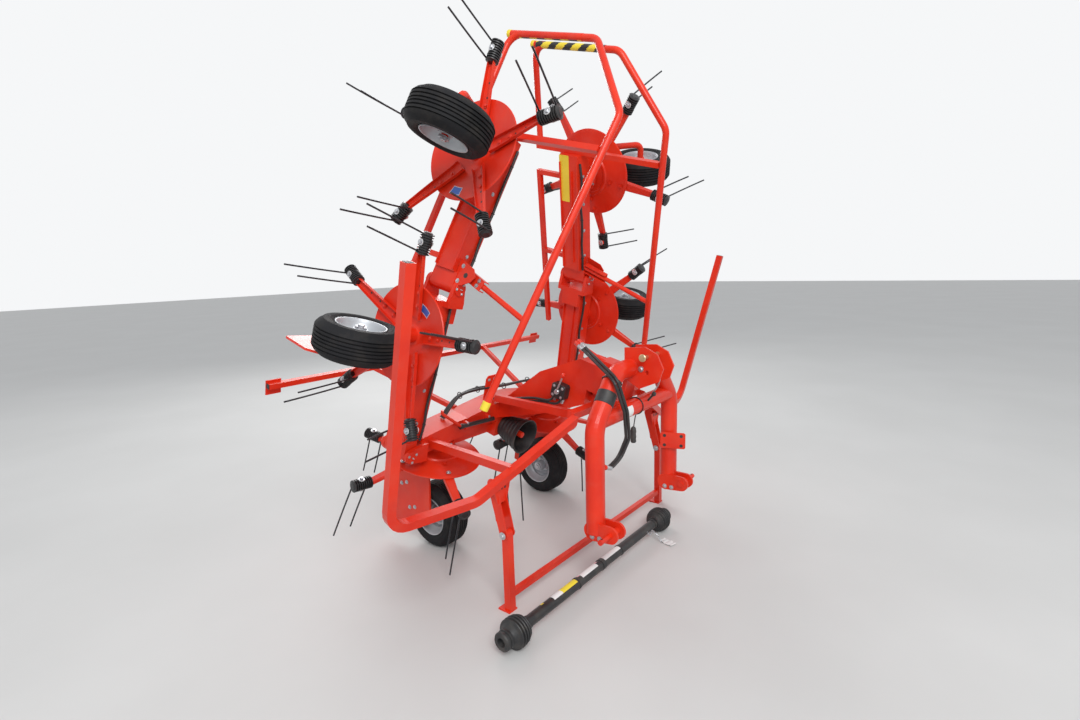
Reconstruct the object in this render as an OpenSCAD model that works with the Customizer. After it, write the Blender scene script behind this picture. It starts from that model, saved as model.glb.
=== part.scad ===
// Hay tedder with six rotors, carried on a tractor's linkage and folded up as it is parked.
// It stands nose down on its two middle wheels and on a stand behind the hitch.
// The machine's own frame has X across, Y to the rear and Z up from the rotors.
// That frame is then pitched, so that wheels and stand meet the floor at Z = 0.

/* [Parking] */
// Nose-down pitch of the parked machine
pitch = 15; // [12:0.5:16]
// How far the inner wings are folded up from level
fold_inner = 98; // [92:0.5:100]
// How much further the outer wings are folded in
fold_outer = 13; // [6:0.5:15]
// Shift that puts the box of the parked machine over the origin
park_shift = 900.4; // [800:0.1:1000]

/* [Rotors] */
// Distance between the two middle rotors
rotor_gap_mid = 1050; // [1030:5:1080]
// Distance between neighbours on one side
rotor_gap = 975; // [960:5:1000]
// Distance from the hitch pins back to the rotor line
rotor_y = 1310; // [1290:5:1340]
// Arms on each rotor
arm_count = 5; // [4:1:6]
// Turn of the first arm on the right side
arm_phase = 6; // [0:1:30]
// Radius of the rotor's dish
dish_r = 275; // [250:5:300]
// Rise of the dish from its rim to its hub
dish_rise = 55; // [40:5:70]
// Thickness of the dish's sheet
dish_t = 5; // [4:1:8]
// Radius of the hub that turns on the spindle
hub_r = 62; // [55:1:75]
// Height of the hub above the rim
hub_h = 78; // [70:1:95]

/* [Arms and tines] */
// Radius at the middle of the tine holder
holder_at = 482; // [460:2:500]
// Length of the tine holder
holder_len = 118; // [100:2:130]
// Radius of the tine holder
holder_r = 29; // [24:1:34]
// Drop of the holder's axis under the dish's rim
holder_drop = 58; // [45:1:75]
// Width of an arm where it leaves the dish
arm_w = 72; // [60:1:80]
// Width of an arm at its holder
arm_tip_w = 42; // [36:1:48]
// Thickness of an arm
arm_t = 16; // [12:1:22]
// Diameter of the tine wire
tine_d = 9.5; // [8:0.5:11]
// Length of the longer tine
tine_long = 350; // [300:5:360]
// How much shorter the inner tine is
tine_step = 30; // [10:5:60]
// Distance between the two tines of a holder
tine_gap = 92; // [70:2:100]
// Outward lean of the tines
tine_splay = 12; // [6:1:16]
// Trailing lean of the tines
tine_trail = 8; // [0:1:14]

/* [Wheels] */
// Diameter of the tyre
tyre_d = 406; // [380:2:430]
// Width of the tyre
tyre_w = 165; // [150:1:176]
// Radius of the rim where the bead sits
rim_r = 112; // [104:1:118]
// Distance of the axle in front of the rotor line
axle_ahead = 94; // [80:1:110]
// Drop of the axle under the dish's rim
axle_drop = 366; // [350:1:380]
// How much further forward the outermost wheels sit
outer_ahead = 70; // [0:5:90]
// How much nearer to their dishes the outermost wheels sit
outer_lift = 36; // [0:2:44]
// How far inboard of their rotors the outermost wheels sit
outer_in = 30; // [0:2:36]
// Radius of the axle
axle_r = 17; // [14:1:20]
// Radius of the fixed spindle that the rotor turns on
spindle_r = 40; // [34:1:44]
// Thickness of the wheel leg's plate
leg_t = 12; // [8:1:14]
// How far the wheel leg's plate reaches behind the axle
leg_tail = 345; // [300:5:360]
// How far the wheel leg's plate reaches under the axle
leg_drop = 155; // [120:5:170]
// Diameter of the outermost wheels' tube legs
leg_tube_d = 40; // [36:1:46]
// How far the tube leg stands outboard of its wheel's middle
leg_out = 150; // [135:1:160]

/* [Frame] */
// Distance of each fold hinge outboard of its rotor
hinge_out = 295; // [285:1:305]
// Height of the inner hinge over the dish's rim
hinge_a_up = 128; // [120:1:140]
// Height of the outer hinge over the dish's rim
hinge_b_up = 190; // [180:1:200]
// Radius of a hinge pin
hinge_pin_r = 20; // [16:1:24]
// Fore-and-aft depth of a hinge's middle ear block
hinge_l = 176; // [150:2:200]
// Depth of the middle cross beam, front to back
beam_w = 150; // [130:2:170]
// Height of the cross beam
beam_h = 150; // [120:2:170]
// Rise of the cross beam's middle over its ends
beam_arch = 70; // [40:5:90]
// Front to back width of the wing beams
wing_w = 140; // [120:2:160]
// Height of the wing beams
wing_h = 112; // [96:2:120]
// Side of the square guard tube
guard_w = 42; // [36:1:48]
// Diameter of the round guard tube on the wings
hoop_d = 38; // [32:1:44]

/* [Hitch] */
// Distance between the shoulders of the lower hitch, centre to centre
lower_span = 825; // [800:5:850]
// Height of the lower hitch pins while parked
lower_z = 363; // [345:1:380]
// Radius of a lower hitch pin's free end
lower_pin_r = 14; // [13:0.5:15]
// Height of the top link pin over the lower pins
mast_h = 770; // [740:5:800]
// Radius of the hole for the top link's pin
top_hole_r = 12.75; // [12.5:0.05:13]
// Length of a lower pin's free end
pin_free = 90; // [70:1:100]
// Diameter of the arch's tube
arch_d = 100; // [90:1:108]
// Distance of the arch behind the lower pins
arch_y = 105; // [98:1:120]
// Height of the arch's middle line at its crown
arch_top = 1150; // [1120:5:1170]

/* [Stand] */
// Half the distance between the stand's legs
stand_x = 806; // [780:2:830]
// Distance of the stand's pin behind the hitch pins
stand_y = 372; // [360:1:390]
// Height of the stand's pin
stand_z = 415; // [400:1:430]
// Side of the stand's square tube
stand_w = 40; // [34:1:46]
// Radius of the stand's pins
stand_pin_r = 8; // [6:0.5:10]

/* [Drive shaft] */
// Length of the loose drive shaft from yoke to yoke
shaft_len = 1600; // [1500:10:1700]
// Radius of the shaft's guard tube
shaft_r = 28; // [24:1:36]
// Radius of the guard cones at its ends
cone_r = 74; // [66:1:84]
// Radius of the splined input stub on the machine
stub_r = 17.5; // [17:0.25:18]
// Height of the drive line over the dish's rim
drive_up = 95; // [90:1:100]

/* [Hidden] */
$fn = 48;
// Radial clearance of a running fit
run = 0.05;
// Sideways gap between ears and blocks
slip = 3;
// The machine's right side lies at -X
side_r = -1;
side_l = 1;
RED = [0.78, 0.09, 0.03];
BLACK = [0.05, 0.05, 0.055];
STEEL = [0.6, 0.6, 0.62];

// Heights and distances in the machine's frame
axle_y = rotor_y - axle_ahead;
tyre_r = tyre_d / 2;
axle_z = (tyre_r - axle_y * sin(pitch)) / cos(pitch);
rotor_z = axle_z + axle_drop;
hub_top = rotor_z + hub_h;
drive_z = rotor_z + drive_up;
beam_z = rotor_z + hinge_a_up;
beam_front = rotor_y - beam_w / 2;
beam_rear = rotor_y + beam_w / 2;
mid_x = rotor_gap_mid / 2;
inner_x = mid_x + rotor_gap;
outer_x = inner_x + rotor_gap;
ROTOR_X = [mid_x, inner_x, outer_x];
// Axes of the two fold hinges, as X and Z
hinge_a = [mid_x + hinge_out, rotor_z + hinge_a_up];
hinge_b = [inner_x + hinge_out, rotor_z + hinge_b_up];
// Undersides of the wing beams
inner_low = hub_top + 12;
outer_low = hinge_b[1] - wing_h / 2;
ear_t = 22;
// Length of a hinge block, from its pin to the beam
block_reach = 80;
// Half the height of the cross beam where it ends over the middle rotors
beam_end = 37;
// How far the cross beam runs outboard of its rotor, short of the hinge's end plate
beam_over = hinge_out - 95;
// How much more the beam's top rises than its underside
beam_crown = 21;
// Distances across at which the beam's outline bends
beam_flat = mid_x - 60;
beam_crest = 0.22 * beam_flat;
BEAM_X = [
    -mid_x - beam_over, -beam_flat, -0.8 * beam_flat, -0.5 * beam_flat, -beam_crest,
    beam_crest, 0.5 * beam_flat, 0.8 * beam_flat, beam_flat, mid_x + beam_over
];
// Depth of the gear box under the middle of the cross beam
box_under = drive_z - 55;
// Housing of the drive line between the gear box and the rotor heads, front to back and in height
drive_w = 76;
drive_h = 54;
// Radius of a lower pin where it sits in its plates
shank_r = 18;
// Arms start at this radius under the dish
arm_root = 120;
arm_end = holder_at - holder_len / 2 + 12;
// The nose bar, where bars and guards meet behind the arch
nose_y = 525;
nose_z = 815;
nose_x = 360;
// The goose neck and the pin on which the headstock swivels
neck_w = 190;
swivel_y = 560;
swivel_r = 24;
swivel_low = 845;
swivel_top = 1036;
swivel_t = 24;
swivel_w = 110;
neck_nose = swivel_y + 55;
// The guards beside the nose, in their own upright plane that is turned outward
guard_turn = 8;
guard_y = 442;
guard_low = 488;
guard_x = 1425;
guard_top = 1630;
guard_bend = 95;
// The bar behind the middle rotors
rear_x = 1230;
rear_y = 2000;
rear_up = 185;
// Length of the guard bell over the input stub
bell_l = 190;
// Radius of the gear box's nose, from which the stub stands out
nose_r = 30;
// The hoses run from a guide over the swivel to a socket beside the arch's right leg
hose_d = 17;
hose_bend = 60;
hose_socket_d = 27;
HOSE_PATH = [
    [-150, 376, 1264], [-330, 40, 1130], [-270, 20, 960], [-200, 50, 800],
    [-215, 90, 690], [-300, 100, 655], [-345, 105, 672]
];
// Ways from the first hose to the second, at the same points
HOSE_SIDE = [
    [0.7, -0.5, 0.5], [0.7, -0.5, 0.5], [0.7, -0.6, 0.2], [0.3, -0.95, 0], [0, -1, 0], [0, -1, 0], [0, -1, 0]
];
// A cutting block of this size reaches past everything
far = 2000;
// A ring is pressed into the dish between these distances from the hub
ring_in = 44;
ring_out = 80;
ring_up = 12;
ring_slope = 8;
// Where the stand's channels hang from the loop guards, on the parked floor
link_top_y = 436;
link_top_z = 662;
// The loose drive shaft lies on its guard cones in front of the stand
shaft_x = -300;
shaft_y = 165;
shaft_z = cone_r + 2;
// The outer beam's cross bar, and the guard tube that it carries
cross_w = 30;
cross_out = 200;
cross_x = outer_x + cross_out;
hoop_front = 702.5;
hoop_rear = 1600;
hoop_bend = 80;

function unit(v) = v / norm(v);

// Route of the first hose, or of the second beside it, with their end faces level
function hose_route(k) = let (last = len(HOSE_PATH) - 1) [for (i = [0:last]) let (
    side_step = k * (hose_d + 1) * HOSE_SIDE[i],
    out = unit(HOSE_PATH[i] - HOSE_PATH[i == 0 ? 1 : i - 1])
) HOSE_PATH[i] + side_step - (i == 0 || i == last ? (side_step * out) * out : [0, 0, 0])];

module floor_frame() {
    translate([0, -park_shift, 0]) children();
}

module machine() {
    floor_frame() rotate([pitch, 0, 0]) children();
}

module side(s) {
    if (s < 0) mirror([1, 0, 0]) children();
    else children();
}

// Turns what is drawn on a level panel up by an angle about a fore-and-aft hinge
module folded(hinge, angle) {
    translate([hinge[0], 0, hinge[1]]) rotate([0, -angle, 0]) translate([-hinge[0], 0, -hinge[1]]) children();
}

// Panel 0 is the middle frame, 1 the inner wing and 2 the outer wing
module on_panel(s, panel) {
    machine() side(s) {
        if (panel == 0) children();
        if (panel == 1) folded(hinge_a, fold_inner) children();
        if (panel == 2) folded(hinge_a, fold_inner) folded(hinge_b, fold_outer) children();
    }
}

module pointing(a, b) {
    v = b - a;
    translate(a) rotate([0, acos(v[2] / norm(v)), atan2(v[1], v[0])]) children();
}

module rod(a, b, d) {
    pointing(a, b) cylinder(h = norm(b - a), d = d);
}

// A box bar between two points: w lies level and h stands upright
module box_bar(a, b, w, h) {
    pointing(a, b) translate([-h / 2, -w / 2, 0]) cube([h, w, norm(b - a)]);
}

// A fore-and-aft cylinder centred on y
module along_y(x, y, z, r, l) {
    translate([x, y + l / 2, z]) rotate([90, 0, 0]) cylinder(r = r, h = l);
}

module across_x(x, y, z, r, l) {
    translate([x - l / 2, y, z]) rotate([0, 90, 0]) cylinder(r = r, h = l);
}

// How much of a straight goes into the bend at its end
function bend_cut(a, b, c, r) = r * tan(acos(unit(b - a) * unit(c - b)) / 2);

// Rings of a bend at b, each a centre and a direction
function bend_rings(a, b, c, r, steps) =
    let (
        u = unit(b - a),
        w = unit(c - b),
        turn = acos(u * w),
        n = unit(w - (w * u) * u),
        centre = b - r * tan(turn / 2) * u + r * n
    )
    [for (i = [0:steps]) let (t = turn * i / steps) [
        centre + r * (sin(t) * u - cos(t) * n),
        cos(t) * u + sin(t) * n
    ]];

// Rings of a tube along points, with every inner corner bent to radius r
function tube_rings(points, r, steps) =
    let (last = len(points) - 1)
    concat(
        [[points[0], unit(points[1] - points[0])]],
        [for (i = [1:last - 1]) each bend_rings(points[i - 1], points[i], points[i + 1], r, steps)],
        [[points[last], unit(points[last] - points[last - 1])]]
    );

// A tube along points; ref is any direction that no straight runs along, and four sides make it square
module pipe(points, r, d, ref = [0, 1, 0], steps = 6, sides = 20) {
    rings = tube_rings(points, r, steps);
    count = len(rings);
    square_cut = sides == 4;
    first = square_cut ? 45 : 0;
    radius = square_cut ? d / sqrt(2) : d / 2;
    skin = [for (ring = rings) let (
        a = unit(cross(ring[1], ref)),
        b = cross(ring[1], a)
    ) for (k = [0:sides - 1]) let (t = first + 360 * k / sides) ring[0] + radius * (cos(t) * a + sin(t) * b)];
    polyhedron(skin, concat(
        [[for (k = [0:sides - 1]) k]],
        [for (i = [0:count - 2]) for (k = [0:sides - 1]) let (n = (k + 1) % sides)
            [i * sides + n, i * sides + k, (i + 1) * sides + k, (i + 1) * sides + n]],
        [[for (k = [sides - 1:-1:0]) (count - 1) * sides + k]]
    ));
}

// Two ears with a hinge pin across them, and the end plate that carries them
module hinge_ears(x, z, reach) {
    half = hinge_l / 2 + ear_t + slip;
    for (k = [-1, 1]) hull() {
        along_y(x, rotor_y + k * (half - ear_t / 2), z, 2 * hinge_pin_r, ear_t);
        translate([x - reach, rotor_y + k * (half - ear_t / 2) - ear_t / 2, z - wing_h / 2])
            cube([10, ear_t, wing_h]);
    }
    translate([x - reach - 24, rotor_y - half, z - wing_h / 2]) cube([30, 2 * half, wing_h]);
    along_y(x, rotor_y, z, hinge_pin_r, 2 * half + 16);
}

// The block on the outboard member that turns on the hinge pin
module hinge_block(x, z, reach) {
    difference() {
        union() {
            along_y(x, rotor_y, z, 1.9 * hinge_pin_r, hinge_l);
            translate([x, rotor_y - hinge_l / 2, z - wing_h / 2 + 18]) cube([reach, hinge_l, wing_h - 36]);
        }
        along_y(x, rotor_y, z, hinge_pin_r + run, hinge_l + 2);
    }
}

// The gear housing over a rotor, with the fixed spindle that comes down through the hub
module rotor_head(x, under) {
    translate([x, rotor_y, hub_top + slip]) cylinder(r = hub_r + 18, h = under - hub_top - slip);
    translate([x, rotor_y, rotor_z - 30]) cylinder(r = spindle_r, h = hub_h + 40);
}

// Share of the arch's rise at a distance across
function arch_share(x) = let (t = abs(x) / beam_flat)
    t > 1 ? max(0, 0.42 * (1 - (t - 1) * beam_flat / (beam_over + 60))) : 0.42 + 0.58 * (1 + cos(180 * t)) / 2;

// Height of the beam's underside
function beam_under(x) = beam_z - beam_end + beam_arch * arch_share(x);

// The beam over the two middle rotors, arched in its middle
module cross_beam() {
    color(RED) machine() {
        rotate([90, 0, 0]) translate([0, 0, -beam_rear]) linear_extrude(beam_w) polygon(concat(
            [for (x = BEAM_X) [x, beam_under(x)]],
            [for (i = [len(BEAM_X) - 1:-1:0]) [BEAM_X[i],
                beam_z + 2 * beam_end + (beam_arch + beam_crown) * arch_share(BEAM_X[i])]]
        ));
        for (s = [side_r, side_l]) side(s) {
            rotor_head(mid_x, beam_z);
            hinge_ears(hinge_a[0], hinge_a[1], hinge_out - 205);
        }
    }
}

// The gear box under the beam's middle, and the drive tubes out to the two rotor heads
module drive_box() {
    reach = mid_x - hub_r - 18.1;
    color(RED) machine() {
        translate([-90, beam_front, box_under]) cube([180, beam_w, beam_under(beam_crest) - box_under]);
        translate([-reach, rotor_y - drive_w / 2, drive_z - drive_h + 22]) cube([2 * reach, drive_w, drive_h]);
    }
}

// The goose neck from the cross beam up to the headstock's swivel
module mast() {
    color(RED) machine() difference() {
        rotate([90, 0, 90]) translate([0, 0, -neck_w / 2]) linear_extrude(neck_w) polygon([
            [beam_front, beam_z + beam_arch - 20],
            [beam_front, beam_z + beam_arch + 90],
            [960, 860],
            [700, swivel_top - slip],
            [swivel_y - 45, swivel_top - slip],
            [swivel_y - 45, swivel_low + swivel_t + slip],
            [neck_nose, swivel_low + swivel_t + slip],
            [neck_nose, 780],
            [900, 600]
        ]);
        translate([0, swivel_y, 700]) cylinder(r = swivel_r + run, h = 400);
    }
}

// The nose bar, and the bars that spread from the cross beam to it
module front_bars() {
    color(RED) machine() {
        translate([-nose_x, nose_y - guard_w / 2, nose_z - guard_w / 2]) cube([2 * nose_x, guard_w, guard_w]);
        translate([-40, nose_y, nose_z - guard_w / 2]) cube([80, neck_nose - nose_y, guard_w]);
        for (s = [side_r, side_l]) side(s) difference() {
            box_bar([125, beam_front + 20, beam_z + 195], [330, nose_y, nose_z], guard_w, guard_w);
            translate([0, beam_front, 0]) cube([far, far / 10, far]);
            translate([-1, neck_nose, 0]) cube([neck_w / 2 + 1, far, far]);
        }
    }
}

// The square tube of the guard on one side
module loop_tube(s) {
    machine() side(s) difference() {
        translate([0, guard_y, 0]) rotate([0, 0, guard_turn]) pipe([
            [nose_x - 40, 0, nose_z + 11], [nose_x + 600, 0, guard_low],
            [guard_x, 0, guard_low], [guard_x + 33, 0, guard_top]
        ], guard_bend, guard_w, sides = 4);
        translate([nose_x - 200, 0, 0]) cube([200, far, far]);
    }
}

module loop_guard(s) {
    color(RED) {
        loop_tube(s);
        machine() side(s) difference() {
            box_bar([655, beam_front + 20, beam_z + 25], [745, 550, 600], guard_w, guard_w);
            translate([600, beam_front, 0]) cube([far, far / 10, far]);
        }
    }
}

module rear_guard() {
    color(RED) machine() {
        translate([-rear_x, rear_y - 16, beam_z + rear_up]) cube([2 * rear_x, 32, 32]);
        for (k = [-1, 1]) translate([k * (rear_x - 40) - 45, rear_y + 16, beam_z + rear_up - 44]) cube([90, 6, 90]);
        for (s = [side_r, side_l]) side(s) difference() {
            box_bar([330, beam_rear - 20, beam_z + 110], [520, rear_y, beam_z + 201], 30, 30);
            translate([0, beam_rear - far / 10, 0]) cube([far, far / 10, far]);
        }
    }
}
// The arch with the hitch plates, which swivels on the mast's pin
module headstock() {
    leg_x = lower_span / 2 + 7;
    color(RED) floor_frame() {
        pipe([
            [-leg_x, arch_y, lower_z - 20], [-leg_x, arch_y, 900], [-215, arch_y, arch_top],
            [215, arch_y, arch_top], [leg_x, arch_y, 900], [leg_x, arch_y, lower_z - 20]
        ], 150, arch_d, sides = 32);
        across_x(0, arch_y, 925, 45, lower_span - 60);
        for (s = [side_r, side_l]) side(s) for (k = [-1, 1]) difference() {
            hull() {
                across_x(lower_span / 2 + k * 36, 0, lower_z, 45, 14);
                across_x(lower_span / 2 + k * 36, arch_y, lower_z - 5, 50, 14);
            }
            across_x(lower_span / 2, 0, lower_z, shank_r, 200);
        }
        for (k = [-1, 1]) difference() {
            translate([k * 62 - 6, 0, 0]) rotate([90, 0, 90]) linear_extrude(12) polygon([
                [arch_y + 30, arch_top - 60], [arch_y - 60, arch_top - 110], [-70, arch_top - 60],
                [-95, arch_top + 10], [-60, arch_top + 85], [10, arch_top + 120],
                [arch_y + 30, arch_top + 110]
            ]);
            across_x(0, 0, lower_z + mast_h, top_hole_r, 300);
        }
        for (k = [0, 1]) let (route = hose_route(k), last = len(route) - 1) {
            hose_socket(route[0], route[1], 40);
            hose_socket(route[last], route[last - 1], 50);
        }
        rod([-35, 282, 1165], [-130, 396, 1274], 20);
    }
    color(RED) machine() {
        for (z = [swivel_low, swivel_top]) translate([-swivel_w / 2, 345, z])
            cube([swivel_w, swivel_y - 345 + 35, swivel_t]);
        translate([0, swivel_y, swivel_low]) cylinder(r = swivel_r, h = swivel_top + swivel_t - swivel_low);
        translate([-swivel_w / 2, 400, swivel_low]) cube([swivel_w, 24, swivel_top - swivel_low + 1]);
    }
}

// Each lower pin sits in its two plates by a thick shank, and its thin end stands free outside them
module hitch_pins() {
    color(STEEL) floor_frame() for (s = [side_r, side_l]) side(s) {
        across_x(lower_span / 2 - 4, 0, lower_z, shank_r, 94);
        across_x(lower_span / 2 + 43 + pin_free / 2, 0, lower_z, lower_pin_r, pin_free);
    }
}

// A socket that a hose's end face rests on, so much longer than that face is away from its carrier
module hose_socket(tip, behind, l) {
    way = unit(tip - behind);
    rod(tip + 0.1 * way, tip + l * way, hose_socket_d);
}

// Two hydraulic hoses from their guide to the park sockets on the arch's right leg
module hoses() {
    color(BLACK) floor_frame() for (k = [0, 1])
        pipe(hose_route(k), hose_bend, hose_d, steps = 3, sides = 10);
}

module drive_bell() {
    color(BLACK) machine() translate([0, beam_front, drive_z]) rotate([90, 0, 0]) difference() {
        cylinder(r1 = 70, r2 = 115, h = bell_l);
        translate([0, 0, 8]) cylinder(r1 = 64, r2 = 109, h = bell_l - 7.9);
        translate([0, 0, -1]) cylinder(r = nose_r + run, h = 20);
    }
}

module input_stub() {
    color(STEEL) machine() translate([0, beam_front, drive_z]) rotate([90, 0, 0]) {
            cylinder(r = nose_r, h = 12);
            cylinder(r = stub_r, h = bell_l - 30);
        }
}

module stand() {
    color(RED) floor_frame() {
        for (s = [side_r, side_l]) side(s) difference() {
            union() {
                translate([stand_x - stand_w / 2, stand_y - stand_w / 2, 8]) cube([stand_w, stand_w, stand_z - 8]);
                translate([stand_x - 30, stand_y - 20, 0]) cube([60, 75, 8]);
                across_x(stand_x, stand_y, stand_z, stand_w / 2, stand_w);
            }
            across_x(stand_x, stand_y, stand_z, stand_pin_r + run, stand_w + 2);
        }
        translate([-stand_x, stand_y - 15, 70]) cube([2 * stand_x, 30, 30]);
    }
}

// The channel that hangs from a loop guard and holds the stand's pin
module stand_links() {
    color(RED) for (s = [side_r, side_l]) difference() {
        floor_frame() side(s) {
            for (k = [-1, 1]) hull() {
                across_x(stand_x + k * (stand_w / 2 + 6), stand_y, stand_z, 24, 6);
                across_x(stand_x + k * (stand_w / 2 + 6), link_top_y, link_top_z, 30, 6);
            }
            box_bar([stand_x, stand_y + 45, stand_z + 60], [stand_x, link_top_y + 12, link_top_z], stand_w + 12, 8);
            translate([stand_x, link_top_y - 34, link_top_z]) rotate([90, 0, 0]) linear_extrude(6)
                polygon([[-32, -90], [32, -90], [62, 0], [-62, 0]]);
            across_x(stand_x, stand_y, stand_z, stand_pin_r, stand_w + 30);
        }
        loop_tube(s);
    }
}

module shaft_tube() {
    color(BLACK) floor_frame() across_x(shaft_x, shaft_y, shaft_z, shaft_r, shaft_len - 320);
}

module shaft_cones() {
    color(BLACK) floor_frame() for (k = [-1, 1]) translate([shaft_x + k * (shaft_len / 2 - 160), shaft_y, shaft_z])
        rotate([0, k * 90, 0]) {
        cylinder(r1 = shaft_r, r2 = cone_r, h = 40);
        translate([0, 0, 40]) cylinder(r = cone_r, h = 70);
        translate([0, 0, 110]) cylinder(r = 46, h = 50);
    }
}

// A wing's beam from its hinge block to x_end, with its underside at z
module wing_beam(hinge, z, x_end) {
    translate([hinge[0] + block_reach - 4, rotor_y - wing_w / 2, z])
        cube([x_end - hinge[0] - block_reach + 4, wing_w, wing_h]);
    hinge_block(hinge[0], hinge[1], block_reach);
}

module inner_wing(s) {
    color(RED) on_panel(s, 1) {
        wing_beam(hinge_a, inner_low, hinge_b[0] - 80);
        translate([inner_x + 90, rotor_y - wing_w / 2, inner_low + wing_h / 2])
            cube([hinge_out - 170, wing_w, hinge_b[1] - inner_low]);
        rotor_head(inner_x, inner_low + 1);
        hinge_ears(hinge_b[0], hinge_b[1], 85);
    }
}

// The outer beam ends in a cross bar that carries the guard tube round the rotor
module outer_wing(s) {
    color(RED) on_panel(s, 2) {
        wing_beam(hinge_b, outer_low, cross_x - cross_w);
        translate([cross_x - cross_w, hoop_front, hinge_b[1] - 20]) cube([cross_w, hoop_rear - hoop_front, 40]);
        rotor_head(outer_x, outer_low + 1);
        for (x = [hinge_b[0] + 120, outer_x]) translate([x, rotor_y + wing_w / 2 - 1, hinge_b[1] - 15])
            cube([30, hoop_rear - rotor_y - wing_w / 2, 30]);
        translate([hinge_b[0] - 460, hoop_rear - 15, hinge_b[1] - 15]) cube([outer_x - hinge_b[0] + 490, 30, 30]);
    }
}
module hoop_guard(s) {
    z = hinge_b[1];
    color(RED) on_panel(s, 2) {
        pipe([
            [hinge_b[0] - 509, 745, z], [outer_x + 377, 674, z], [outer_x + 751, 985, z],
            [outer_x + 764, hoop_rear - 20, z], [cross_x, hoop_rear - 20, z]
        ], hoop_bend, hoop_d, ref = [0, 0, 1]);
        rod([hinge_b[0] + block_reach + 20, rotor_y - wing_w / 2 - 3.8, z + 20], [hinge_b[0] - 30, 729, z], 30);
    }
}

// Middle of a wheel on its panel
function axle_at(panel) = panel == 2 ? [outer_x - outer_in, axle_y - outer_ahead, axle_z + outer_lift]
    : [ROTOR_X[panel], axle_y, axle_z];

// A broad plate beside the wheel and a shelf under the spindle, drawn outboard of a wheel at X = 0
module plate_leg(hub_y, hub_z, shelf) {
    plate_x = tyre_w / 2 + 12;
    translate([plate_x, 0, 0]) rotate([90, 0, 90]) linear_extrude(leg_t) polygon([
        [rotor_y + 150, shelf + 12], [rotor_y - 62, shelf + 12], [hub_y - 30, hub_z + 34],
        [hub_y - 30, hub_z - 26], [hub_y - 10, hub_z - 40], [hub_y + leg_tail - 180, hub_z - leg_drop],
        [hub_y + leg_tail, hub_z - leg_drop + 6], [hub_y + leg_tail + 24, hub_z + 120]
    ]);
    translate([-20, rotor_y - 50, shelf]) cube([plate_x + 20 + leg_t, 100, 12]);
    across_x((20 - tyre_w / 2 + plate_x + leg_t) / 2, hub_y, hub_z, axle_r, plate_x + leg_t + tyre_w / 2 - 20);
}

// The plate stands outboard of a middle wheel and inboard of an inner wing's wheel,
// and a bent tube round the wheel takes its place on an outer wing
module wheel_leg(s, panel) {
    x = ROTOR_X[panel];
    hub = axle_at(panel);
    shelf = rotor_z - 60;
    color(RED) on_panel(s, panel) {
        translate([x, rotor_y, shelf]) cylinder(r = spindle_r + 12, h = 30);
        if (panel == 0) translate([x, 0, 0]) plate_leg(hub[1], hub[2], shelf);
        if (panel == 1) translate([x, 0, 0]) side(side_r) plate_leg(hub[1], hub[2], shelf);
        if (panel == 2) {
            pipe([
                [x, rotor_y, shelf + 6], [hub[0] + leg_out + 25, rotor_y - 20, shelf + 6],
                [hub[0] + leg_out, hub[1], hub[2]], [hub[0] + axle_r + 48, hub[1], hub[2]]
            ], 45, leg_tube_d);
            across_x(hub[0], hub[1], hub[2], axle_r, tyre_w - 24);
        }
    }
}

// Height of the dish's underside at a radius
function dish_under(r) = (dish_rise - dish_t) * (dish_r - r) / (dish_r - hub_r);

// A point over the dish's upper face, at a distance outside the hub
function dish_top(out, over) = [hub_r + out, dish_under(hub_r + out) + dish_t + over];

// A flat arm that narrows from under the dish to its holder
module arm() {
    root = [arm_root, 0, dish_under(arm_root) - arm_t / 2 + 4];
    tip = [arm_end - 2.3, 0, -holder_drop];
    pointing(root, tip) rotate([90, 0, 90]) translate([0, 0, -arm_t / 2]) linear_extrude(arm_t) polygon([
        [-arm_w / 2, 0], [arm_w / 2, 0], [arm_tip_w / 2, norm(tip - root)], [-arm_tip_w / 2, norm(tip - root)]
    ]);
}

module rotor(s, panel) {
    x = ROTOR_X[panel];
    first = rotor_phase(s, panel);
    color(RED) on_panel(s, panel) translate([x, rotor_y, rotor_z]) {
        difference() {
            union() {
                rotate_extrude() polygon([
                    [spindle_r, hub_h - 40], [hub_r, dish_rise - dish_t], [dish_r, 0], [dish_r, dish_t],
                    dish_top(ring_out, 0), dish_top(ring_out - ring_slope, ring_up - dish_t),
                    dish_top(ring_in + ring_slope, ring_up - dish_t), dish_top(ring_in, 0),
                    [hub_r, dish_rise], [hub_r, hub_h], [spindle_r, hub_h]
                ]);
                for (i = [0:arm_count - 1]) rotate([0, 0, first + i * 360 / arm_count]) arm();
            }
            translate([0, 0, -200]) cylinder(r = spindle_r + run, h = 400);
        }
    }
}

// Neighbours turn opposite ways, with the arms of one between the arms of the next
function rotor_phase(s, panel) =
    (panel == 1 ? -1 : 1) * (arm_phase + (s > 0 ? 180 / arm_count : 0));

module tines(s, panel) {
    x = ROTOR_X[panel];
    first = rotor_phase(s, panel);
    color(BLACK) on_panel(s, panel) translate([x, rotor_y, rotor_z]) {
        for (i = [0:arm_count - 1]) rotate([0, 0, first + i * 360 / arm_count]) {
            translate([arm_end, 0, -holder_drop]) rotate([0, 90, 0])
                cylinder(r = holder_r, h = holder_len);
            for (k = [0, 1]) {
                translate([holder_at - tine_gap / 2 + k * tine_gap + 8, holder_r - tine_d, -holder_drop])
                    rotate([-tine_trail, 180 - tine_splay, 0])
                    cylinder(d = tine_d, h = tine_long - (1 - k) * tine_step);
            }
        }
    }
}

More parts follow.
